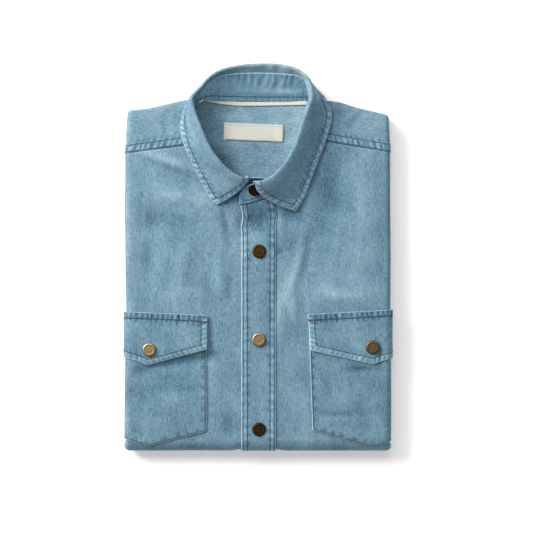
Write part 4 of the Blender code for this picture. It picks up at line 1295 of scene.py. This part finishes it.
def stand_place(column, row):
    """Behind the neck the stand's base comes in to the tape, and its inner face is puckered. Its tone along
    the collar and over its puckers is painted light and shade.
    """
    t = column / STAND_STEPS
    base, top = section_curve("base", t), section_curve("top", t)
    if BACK_FROM < t < BACK_TO:
        back = math.sin(math.pi * (t - BACK_FROM) / (BACK_TO - BACK_FROM)) ** STAND_ROUND
        base += back * (Vector((0, 0, STAND_RISE)) - outward("base", t) * STAND_INWARD)
    point = mix(base, top, row / STAND_ROWS)
    height = STAND_DENT * dimples(STAND_PUCKERS, point) * ease((t - BACK_FROM) / STAND_DENT_FROM)
    worn = read_table(COLLAR_PAINTED_LIGHT, "stand", t, "section") + STAND_PUCKER_PAINTED_LIGHT * height
    return point + Vector((0, 0, height)), (top - base).length * row / STAND_ROWS, stand_runs[column], worn


def dimples(creases, point):
    """Height of a table's puckers at a point, as seen from above."""
    return folds(creases, point.x, START_Y - point.y)


def stand_spot(t, part):
    """A place on the stand's cloth and the upward direction square to it."""
    before, spot, after = (
        mix(section_curve("base", k), section_curve("top", k), part) for k in (t - 0.5, t, t + 0.5)
    )
    normal = (after - before).cross(section_curve("top", t) - section_curve("base", t)).normalized()
    return spot, normal if normal.z > 0 else -normal


stand = Cloth(stand_columns, STAND_ROWS, stand_place)
lap_column = round(FRONT_END * STAND_STEPS)
lap_edge = stand.line((lap_column, 0), (stand_columns, 0))[:-1]
lap_edge += stand.line((stand_columns, 0), (stand_columns, STAND_ROWS))
base_edge = stand.line((0, 0), (lap_column, 0))
top_edge = stand.line((0, STAND_ROWS), (stand_columns, STAND_ROWS))
stand_seams = [
    Seam(lap_edge, LAP_ROWS, 0.1, 0.25, 2, 7, 0.0, 21, 0.15),
    Seam(base_edge, BASE_ROWS, 0.2, 0.25, 2, 4.6, 0.0, 22),
    Seam(top_edge, HIDDEN_ROWS, 0.0, 0.3, 6.0, 6.0, 0.0, 23),
]
stand_thread = sew("collar_stand_stitches", stand, stand_seams, STAND_WALL, both_faces=True)
stand_cloth = denim("collar_stand_denim", rim_fade=0.6, seed=24, tone=-0.07, shade_blue=0.14)
stand_piece = finish_piece(
    "collar_stand_strip", stand.bm, stand_cloth, "collar_stand", STAND_WALL, 1
)

# ------------------------------------------------------------
# COLLAR LEAF. Two layers of denim with an interlining, turned and pressed, sewn between the stand's layers.
# It rises from the stand, rolls over and falls outwards to two points, topstitched 6 mm from its edges.
# ------------------------------------------------------------
LEAF_WALL = 1.5
LEAF_STEPS = 8
RISE_ROWS = 8
FALL_ROWS = 28
LEAF_STITCH_ROWS = (5.9,)
LeafEnd = namedtuple("LeafEnd", "section reach hook")
LEAF_ENDS = (
    LeafEnd(LEAF_FIRST, 3.6, Vector((5.2, -5, 0))),
    LeafEnd(LEAF_LAST, 10.0, Vector((-7.6, -6.6, 0))),
)
LEAF_SEAM_GAP = -0.6
LEAF_TUCK = 0.9
TUCK_STEPS = 2
LEAF_PUCKER_PAINTED_LIGHT = 0.5
LEAF_RISE = 1.7
LEAF_END_SHADE = 0.5
LEAF_ROLL_REACH = 2.4
LEAF_ROLL_PART = 0.10
LEAF_EDGE_PART = 0.45
LEAF_EDGE_DROP = 0.16
LEAF_ROUNDING = 0.35
LEAF_ROUND_SPREAD = 0.2
LEAF_WAVES = (Wave(24, 20, 2, 0.45), Wave(9, 8, 6, 0.15))
LEAF_WAVES_FROM = 6
LEAF_DENT = 0.4
LEAF_END_REACH = 0.7
LEAF_END_ROWS = 3.5
# Puckers on the leaf's underside: lifted, and painted lighter on their ridges and darker in their dents.
LEAF_PUCKERS = [Crease(*row) for row in (
    (10, 186, 14, 192, 2.8, 0.9),
    (5, 186, 8, 193, 2.0, -0.7),
    (17, 186, 21, 191, 2.3, -0.9),
    (25, 186, 23, 192, 3.0, 1.0),
    (32, 184, 38, 186, 2.6, -0.8),
    (-28, 185, -18, 189, 2.6, -0.7),
    (-8, 186, -4, 191, 3.0, 0.5),
)]


def bezier(a, b, c, d, t):
    s = 1 - t
    return a * s**3 + b * (3 * s * s * t) + c * (3 * s * t * t) + d * t**3


def leaf_point(t, reach):
    """The leaf's section: reach 0 to 1 from the seam up to the crest, 1 to 2 down to the free edge."""
    base, seam = section_curve("base", t), section_curve("top", t)
    roll, edge = section_curve("roll", t), section_curve("edge", t)
    out = outward("roll", t)
    rise = (seam - base).normalized()
    if reach <= 1:
        behind = ease((t - BACK_FROM + 1) / TUCK_STEPS) * ease((BACK_TO - t) / TUCK_STEPS + 1) * LEAF_TUCK
        start = seam + rise * LEAF_SEAM_GAP - stand_spot(t, 1.0)[1] * behind
        return bezier(start, start + rise * LEAF_RISE, roll - out * LEAF_RISE, roll, reach)
    fall = edge - roll
    level = Vector((fall.x, fall.y, 0))
    first = roll + out * (LEAF_ROLL_REACH + LEAF_ROLL_PART * level.length)
    second = edge - LEAF_EDGE_PART * level - Vector((0, 0, LEAF_EDGE_DROP * fall.z))
    for end in LEAF_ENDS:
        weight = max(1 - abs(t - end.section), 0.0) ** 2
        first = mix(first, roll + out * end.reach, weight)
        second = second + end.hook * weight
    return bezier(roll, first, second, edge, reach - 1)


def rounded_end(t, reach):
    """Draws the leaf's front corners in a little at the crest."""
    draw = LEAF_ROUNDING * math.exp(-(((reach - 1) / LEAF_ROUND_SPREAD) ** 2))
    return t + draw * (max(1 - t + LEAF_FIRST, 0.0) ** 2 - max(1 + t - LEAF_LAST, 0.0) ** 2)


leaf_columns, leaf_rows = LEAF_STEPS * (LEAF_LAST - LEAF_FIRST), RISE_ROWS + FALL_ROWS
leaf_reaches = [r / RISE_ROWS for r in range(RISE_ROWS)] + [1 + r / FALL_ROWS for r in range(FALL_ROWS + 1)]
leaf_lines = []
for c in range(leaf_columns + 1):
    t = LEAF_FIRST + c / LEAF_STEPS
    leaf_lines.append([leaf_point(rounded_end(t, reach), reach) for reach in leaf_reaches])
leaf_across = [lengths_of(line) for line in leaf_lines]
leaf_runs = lengths_of([line[RISE_ROWS + FALL_ROWS // 2] for line in leaf_lines])


def leaf_place(column, row):
    point, across, run = leaf_lines[column][row], leaf_across[column][row], leaf_runs[column]
    fall = ease((row - RISE_ROWS) / LEAF_WAVES_FROM)
    waves = sum(ripple(wave, run, across) for wave in LEAF_WAVES)
    t = column / LEAF_STEPS + LEAF_FIRST
    inside = row < RISE_ROWS and BACK_FROM < t < BACK_TO + TUCK_STEPS
    rise = dimples(LEAF_PUCKERS, point) if inside else 0.0
    near_end = [max(1 - LEAF_END_REACH * steps, 0.0) for steps in (t - LEAF_FIRST, LEAF_LAST - t)]
    # The leaf's underside is painted lighter along the collar and over its puckers, as painted light and
    # shade.
    worn = (1 - fall) * read_table(COLLAR_PAINTED_LIGHT, "leaf", t, "section") + LEAF_PUCKER_PAINTED_LIGHT * rise
    worn -= LEAF_END_SHADE * sum(near_end) * math.exp(-(((row - RISE_ROWS) / LEAF_END_ROWS) ** 2))
    return point + Vector((0, 0, fall * waves + LEAF_DENT * rise)), across, run, worn


leaf = Cloth(leaf_columns, leaf_rows, leaf_place)
right_front_edge = leaf.line((0, 0), (0, leaf_rows))
left_front_edge = leaf.line((leaf_columns, leaf_rows), (leaf_columns, 0))
outer_edge = leaf.line((0, leaf_rows), (leaf_columns, leaf_rows))
inner_edge = leaf.line((0, 0), (leaf_columns, 0))
leaf_seams = [
    Seam(right_front_edge, LEAF_STITCH_ROWS, 0.3, 0.25, 2.5, 6.2, 0.5, 31),
    Seam(outer_edge, LEAF_STITCH_ROWS, 0.36, 0.35, 3.0, 5.8, 0.5, 32, 0.1),
    Seam(left_front_edge, LEAF_STITCH_ROWS, 0.28, 0.25, 2.5, 6.2, 0.5, 33, 0.1),
    Seam(inner_edge, HIDDEN_ROWS, 0.0, 0.0, 2.0, 10.4, 0.0, 34),
]
leaf_thread = sew("collar_leaf_stitches", leaf, leaf_seams, LEAF_WALL, both_faces=True)
leaf_cloth = denim("collar_leaf_denim", seed=34, tone=0.0, rim_fade=0.4)
leaf_piece = finish_piece("collar_leaf_fall", leaf.bm, leaf_cloth, "collar_leaf", LEAF_WALL, 1)

# ------------------------------------------------------------
# NECK TAPE. Cream herringbone cotton tape, folded over the back neck seam below the collar stand and
# edge-stitched. Towards the right shoulder it narrows where it goes in under the stand.
# ------------------------------------------------------------
TAPE_WALL = 0.9
TAPE_WIDTH = 4.3
TAPE_COLUMNS = 90
TAPE_ROWS = 6
TAPE_CROWN = 0.15
TAPE_ROW = (0.6,)
CREAM_SHADE = 0.62
WEAVE_SHADE = 0.12
WEAVE_BUMP, CREAM_SLUB_BUMP = 0.6, 0.4
CREAM_BUMP, CREAM_DEPTH = 0.5, 0.0001
CREAM_SLUBS = MarkRow(6.0, 0.5, 2.0, 3.0, 0.16)
CREAM_SOIL = MarkRow(11.0, 7.0, 3.0, 8.0, 0.2)
TapeRow = namedtuple("TapeRow", "x y width")
TAPE = (
    TapeRow(-56, 157.2, 1.4),
    TapeRow(-48, 155.9, 2.4),
    TapeRow(-38, 154.5, 3.4),
    TapeRow(-19, 153.2, TAPE_WIDTH),
    TapeRow(10, 153.3, TAPE_WIDTH),
    TapeRow(49.5, 154.0, TAPE_WIDTH),
)


def cream_cloth(name, dark, light, thread_pitch):
    """Unbleached cotton weave; its threads cross at right angles."""
    material, tree = new_material(name)
    grain = attribute(tree, "grain", 1)
    across, length = two_ways(tree, grain)
    turn = 2 * math.pi / thread_pitch
    weave = (across * turn).math("SINE") * (length * turn).math("SINE")
    slubs, soil = (stretched_noise(tree, grain, kind) for kind in (CREAM_SLUBS, CREAM_SOIL))
    shade = CREAM_SHADE + weave * WEAVE_SHADE + slubs * CREAM_SLUBS.shade + soil * CREAM_SOIL.shade
    colour = ramp(tree, shade, (0.0, dark), (1.0, light))
    sockets = {"Base Color": colour, "Roughness": 0.8, "Specular IOR Level": 0.25, "Sheen Weight": 0.1}
    finish_look(tree, weave * WEAVE_BUMP + slubs * CREAM_SLUB_BUMP, CREAM_BUMP, CREAM_DEPTH, sockets)
    return material


def inside_point(x, y, lift):
    """A point over the yoke's back half, inside the neck."""
    v = START_Y - y
    lift += GAP - YOKE_STEP - shoulder_drop(x, v) - drape(x, v) + inside_drape(x, v)
    return body_point(x, v, lift)


def tape_place(column, row):
    x = mix(TAPE[0].x, TAPE[-1].x, column / TAPE_COLUMNS)
    width = read_table(TAPE, "width", x, "x")
    y = read_table(TAPE, "y", x, "x") + width * (row / TAPE_ROWS - 0.5)
    crown = TAPE_CROWN * math.sin(math.pi * row / TAPE_ROWS)
    return inside_point(x, y, crown + TAPE_WALL / 2), x, y, 0.0


tape = Cloth(TAPE_COLUMNS, TAPE_ROWS, tape_place)
tape_seams = [Seam(tape.line((0, 0), (TAPE_COLUMNS, 0)), TAPE_ROW, 0.05, 0.1, 1.0, 4, 0.0, 41)]
cream_thread = thread_material("cream_sewing_thread", (0.46, 0.44, 0.38), (0.62, 0.60, 0.53))
tape_thread = sew("neck_tape_stitches", tape, tape_seams, TAPE_WALL, material=cream_thread)
tape_cloth = cream_cloth("cream_cotton_tape", (0.38, 0.37, 0.32), (0.62, 0.615, 0.56), 0.9)
tape_piece = finish_piece("neck_tape_strip", tape.bm, tape_cloth, "neck_tape", TAPE_WALL, 1)

# ------------------------------------------------------------
# NECK LABEL. A bare cream woven label with its ends folded under. It is stitched all round to the inside of
# the yoke and lies a little askew there.
# ------------------------------------------------------------
LABEL_WALL = 0.6
LABEL_SIZE = (59.6, 17.0)
LABEL_MIDDLE = (-4.3, 124.8)
LABEL_TURN = math.radians(-2.4)
LABEL_COLUMNS = 60
LABEL_ROWS = 18
LABEL_ROW = (1.3,)
LABEL_EDGE_WAVE = Wave(9, 1, 4, 0.35)
LABEL_WAVE = Wave(13, 16, 1, 0.15)


def label_place(column, row):
    a = LABEL_SIZE[0] * (column / LABEL_COLUMNS - 0.5)
    b = LABEL_SIZE[1] * (row / LABEL_ROWS - 0.5)
    b += (1 - row / LABEL_ROWS) * ripple(LABEL_EDGE_WAVE, a, 0)
    x = LABEL_MIDDLE[0] + a * math.cos(LABEL_TURN) - b * math.sin(LABEL_TURN)
    y = LABEL_MIDDLE[1] + a * math.sin(LABEL_TURN) + b * math.cos(LABEL_TURN)
    lift = LABEL_WALL / 2 + LABEL_WAVE.height + ripple(LABEL_WAVE, a, b)
    return inside_point(x, y, lift), a, b, 0.0


label = Cloth(LABEL_COLUMNS, LABEL_ROWS, label_place)
corners = [(0, 0), (LABEL_COLUMNS, 0), (LABEL_COLUMNS, LABEL_ROWS), (0, LABEL_ROWS), (0, 0)]
label_seams = [
    Seam(label.line(a, b), LABEL_ROW, 0.08, 0.12, 1.5, 5, 0.0, 42)
    for a, b in zip(corners, corners[1:])
]
label_thread = sew("neck_label_stitches", label, label_seams, LABEL_WALL, material=cream_thread)
label_cloth = cream_cloth("cream_woven_label", (0.38, 0.375, 0.325), (0.58, 0.575, 0.525), 0.7)
label_piece = finish_piece(
    "neck_label_patch", label.bm, label_cloth, "neck_label", LABEL_WALL, 1
)

# ------------------------------------------------------------
# SNAPS. Ring caps of antiqued brass, 14 mm across, spun with a rolled rim round a flatter middle and pressed
# through the cloth. Each sits a little tilted; its brightness is painted, for the reflection it catches and
# the shade it lies in.
# ------------------------------------------------------------
SNAP_HEIGHT = 1.9
SNAP_STEPS = 48
COLLAR_SNAP_HEIGHT = 1.4
CapRow = namedtuple("CapRow", "radius height")
SNAP_CAP = (
    CapRow(0.0, 0.95), CapRow(1.6, 0.945), CapRow(3.0, 0.925), CapRow(3.7, 0.92), CapRow(4.2, 0.94),
    CapRow(4.7, 0.98), CapRow(5.1, 1.00), CapRow(5.7, 0.97), CapRow(6.3, 0.84), CapRow(6.75, 0.60),
    CapRow(6.9, 0.36), CapRow(6.8, 0.14), CapRow(6.5, 0.0), CapRow(0.0, 0.0),
)
# The last column is each cap's painted brightness: the reflection it catches, and the shade it lies in.
SnapRow = namedtuple("SnapRow", "name x y lift lean_x lean_y worn")
SNAPS = (
    SnapRow("snap_placket_top", 1.1, 5.7, PATCH_WALL + 2 * GAP, 0.0, 0.044, 0.24),
    SnapRow("snap_placket_middle", 0.9, -82.6, PATCH_WALL + 2 * GAP, -0.052, 0.052, 1.0),
    SnapRow("snap_placket_low", 0.9, -172.2, PATCH_WALL + 2 * GAP, 0.035, -0.035, 0.2),
    SnapRow("snap_flap_right", -108.7, -92.8, 2 * PATCH_WALL + 3 * GAP, -0.061, 0.061, 1.06),
    SnapRow("snap_flap_left", 114.5, -90.2, 2 * PATCH_WALL + 3 * GAP, -0.070, 0.035, 0.56),
)
# The collar snap's last column paints it dark, as painted shade under the leaf.
CollarSnap = namedtuple("CollarSnap", "section part gap worn")
COLLAR_SNAP = CollarSnap(28.2, 0.66, 0.8, 0.1)
BRASS_DARK = (0.018, 0.012, 0.006)
BRASS_BROWN = (0.105, 0.060, 0.022)
BRASS_BRIGHT = (0.36, 0.25, 0.127)
GROOVE_RADIUS, GROOVE_WIDTH, GROOVE_SHADE = 3.9, 0.55, 0.16
FOOT_RADIUS, FOOT_WIDTH, FOOT_SHADE = 6.2, 0.7, 0.35
BRASS_MARKS_SCALE, BRASS_MARKS_SHADE = 420.0, 0.5
BRASS_GRAIN_SCALE, BRASS_GRAIN_ROUGHNESS = 2600.0, 0.15
BRASS_ROUGHNESS, BRASS_POLISH = 0.54, 0.12


def brass(name, worn, seed):
    """Antiqued brass: patina dark in the ring's groove and at the edge, bright on the rim and the middle. How
    bright it is overall is a painted reflection, given for each snap.
    """
    material, tree = new_material(name)
    radius = attribute(tree, "ring", 2)
    shift = {0: object_place(tree), 1: (seed, 0.5 * seed, 0)}
    moved = add_node(tree, "ShaderNodeVectorMath", {"operation": "ADD"}, shift)
    marks = spots(tree, moved, BRASS_MARKS_SCALE, 4.0)
    grain = spots(tree, moved, BRASS_GRAIN_SCALE, 2.0)
    groove = 1 - (abs(radius - GROOVE_RADIUS) / GROOVE_WIDTH).least(1.0)
    foot = ((radius - FOOT_RADIUS) / FOOT_WIDTH).most(0.0).least(1.0)
    patina_and_reflection = worn + (marks - 0.5) * BRASS_MARKS_SHADE - groove * GROOVE_SHADE - foot * FOOT_SHADE
    colour = ramp(tree, patina_and_reflection, (0.0, BRASS_DARK), (1.0, BRASS_BRIGHT), (0.45, BRASS_BROWN))
    roughness = BRASS_ROUGHNESS - patina_and_reflection * BRASS_POLISH + (grain - 0.5) * BRASS_GRAIN_ROUGHNESS
    sockets = {"Base Color": colour, "Metallic": 1.0, "Roughness": roughness}
    finish_look(tree, grain + marks, 0.3, 0.00006, sockets)
    return material


def turned_cap(name, centre, height, normal, worn, seed):
    """Spins a cap's section, lays it on its place and makes it a piece."""
    bm = bmesh.new()
    ring = bm.verts.layers.float.new("ring")
    verts = [bm.verts.new((row.radius, 0, row.height * height)) for row in SNAP_CAP]
    edges = [bm.edges.new(pair) for pair in zip(verts, verts[1:])]
    bmesh.ops.spin(
        bm, geom=verts + edges, cent=(0, 0, 0), axis=(0, 0, 1), angle=2 * math.pi, steps=SNAP_STEPS,
        use_merge=True,
    )
    bmesh.ops.remove_doubles(bm, verts=bm.verts, dist=0.001)
    bmesh.ops.recalc_face_normals(bm, faces=bm.faces)
    for vert in bm.verts:
        vert[ring] = math.hypot(vert.co.x, vert.co.y)
    turn = Vector((0, 0, 1)).rotation_difference(normal).to_matrix().to_4x4()
    bmesh.ops.transform(bm, matrix=Matrix.Translation(centre) @ turn, verts=bm.verts)
    finish_piece(name + "_cap", bm, brass(name + "_brass", worn, seed), name)


for k, row in enumerate(SNAPS):
    centre = body_point(row.x, along(row.y), row.lift)
    normal = Vector((row.lean_x, row.lean_y, 1)).normalized()
    turned_cap(row.name, centre, SNAP_HEIGHT, normal, row.worn, 0.1 * k)
spot, normal = stand_spot(COLLAR_SNAP.section, COLLAR_SNAP.part)
centre = spot + normal * (STAND_WALL / 2 + COLLAR_SNAP.gap)
turned_cap("snap_collar", centre, COLLAR_SNAP_HEIGHT, normal, COLLAR_SNAP.worn, 0.7)

# ------------------------------------------------------------
# STUDIO. White paper on a table, a large soft light from the upper left and a weaker one from the top. The
# camera looks straight down.
# ------------------------------------------------------------
PAPER_SIZE = 6.0
PAPER_ALBEDO = (0.94, 0.915, 0.885)
PAPER_GLOW = (0.325, 0.282, 0.265)
PAPER_GRAIN_SCALE = 900.0
LIGHT_DISTANCE = 2.4
LIGHT_COLOUR = (1.0, 0.965, 0.93)
LightRow = namedtuple("LightRow", "name elevation bearing size power")
LIGHTS = (
    LightRow("key", 31, 145, 1.2, 95.0),
    LightRow("upper_softbox", 50, 100, 1.8, 24.0),
)
SKY_LOW = (0.39, 0.475, 0.525)
SKY_HIGH = (0.205, 0.252, 0.283)
SKY_STRENGTH = 1.0
CAMERA_DISTANCE = 3.2
CAMERA_CLIP = (0.1, 20.0)
CAMERA_LOOKS_AT = (0.0085, -0.0095, 0.022)
PICTURE_WIDTH = 0.533
SENSOR = 36.0

paper_mesh = bmesh.new()
bmesh.ops.create_grid(paper_mesh, x_segments=1, y_segments=1, size=PAPER_SIZE / 2)
paper_data = bpy.data.meshes.new("paper")
paper_mesh.to_mesh(paper_data)
paper_mesh.free()
paper = bpy.data.objects.new("paper", paper_data)
bpy.context.scene.collection.objects.link(paper)
paper_look, tree = new_material("white_paper")
finish_look(
    tree, spots(tree, object_place(tree), PAPER_GRAIN_SCALE, 2.0), 0.05, 0.0001,
    {"Base Color": (*PAPER_ALBEDO, 1), "Roughness": 1.0, "Specular IOR Level": 0.0,
     "Emission Color": (*PAPER_GLOW, 1), "Emission Strength": 1.0},
)
paper_data.materials.append(paper_look)

for row in LIGHTS:
    bearing, elevation = math.radians(row.bearing), math.radians(row.elevation)
    level = math.cos(elevation)
    way = Vector((level * math.cos(bearing), level * math.sin(bearing), math.sin(elevation)))
    lamp = bpy.data.lights.new(row.name, "AREA")
    lamp.size = row.size
    lamp.energy = row.power
    lamp.color = LIGHT_COLOUR
    holder = bpy.data.objects.new(row.name, lamp)
    holder.location = way * LIGHT_DISTANCE
    holder.rotation_euler = way.to_track_quat("Z", "Y").to_euler()
    bpy.context.scene.collection.objects.link(holder)

sky = bpy.data.worlds.new("studio")
sky.use_nodes = True
sky.node_tree.nodes.clear()
way = add_node(sky.node_tree, "ShaderNodeTexCoord", out=0)
height = Value(add_node(sky.node_tree, "ShaderNodeSeparateXYZ", None, {0: way}).socket.node.outputs[2])
glow = ramp(sky.node_tree, height, (0.3, SKY_LOW), (0.95, SKY_HIGH))
light = add_node(sky.node_tree, "ShaderNodeBackground", None, {"Color": glow, "Strength": SKY_STRENGTH})
add_node(sky.node_tree, "ShaderNodeOutputWorld", None, {0: light})
bpy.context.scene.world = sky

camera_data = bpy.data.cameras.new("camera")
camera_data.sensor_width = SENSOR
camera_data.lens = SENSOR * CAMERA_DISTANCE / PICTURE_WIDTH
camera_data.clip_start, camera_data.clip_end = CAMERA_CLIP
camera = bpy.data.objects.new("camera", camera_data)
camera.location = Vector(CAMERA_LOOKS_AT) + Vector((0, 0, CAMERA_DISTANCE))
bpy.context.scene.collection.objects.link(camera)
bpy.context.scene.camera = camera
bpy.context.scene.view_settings.view_transform = "Standard"
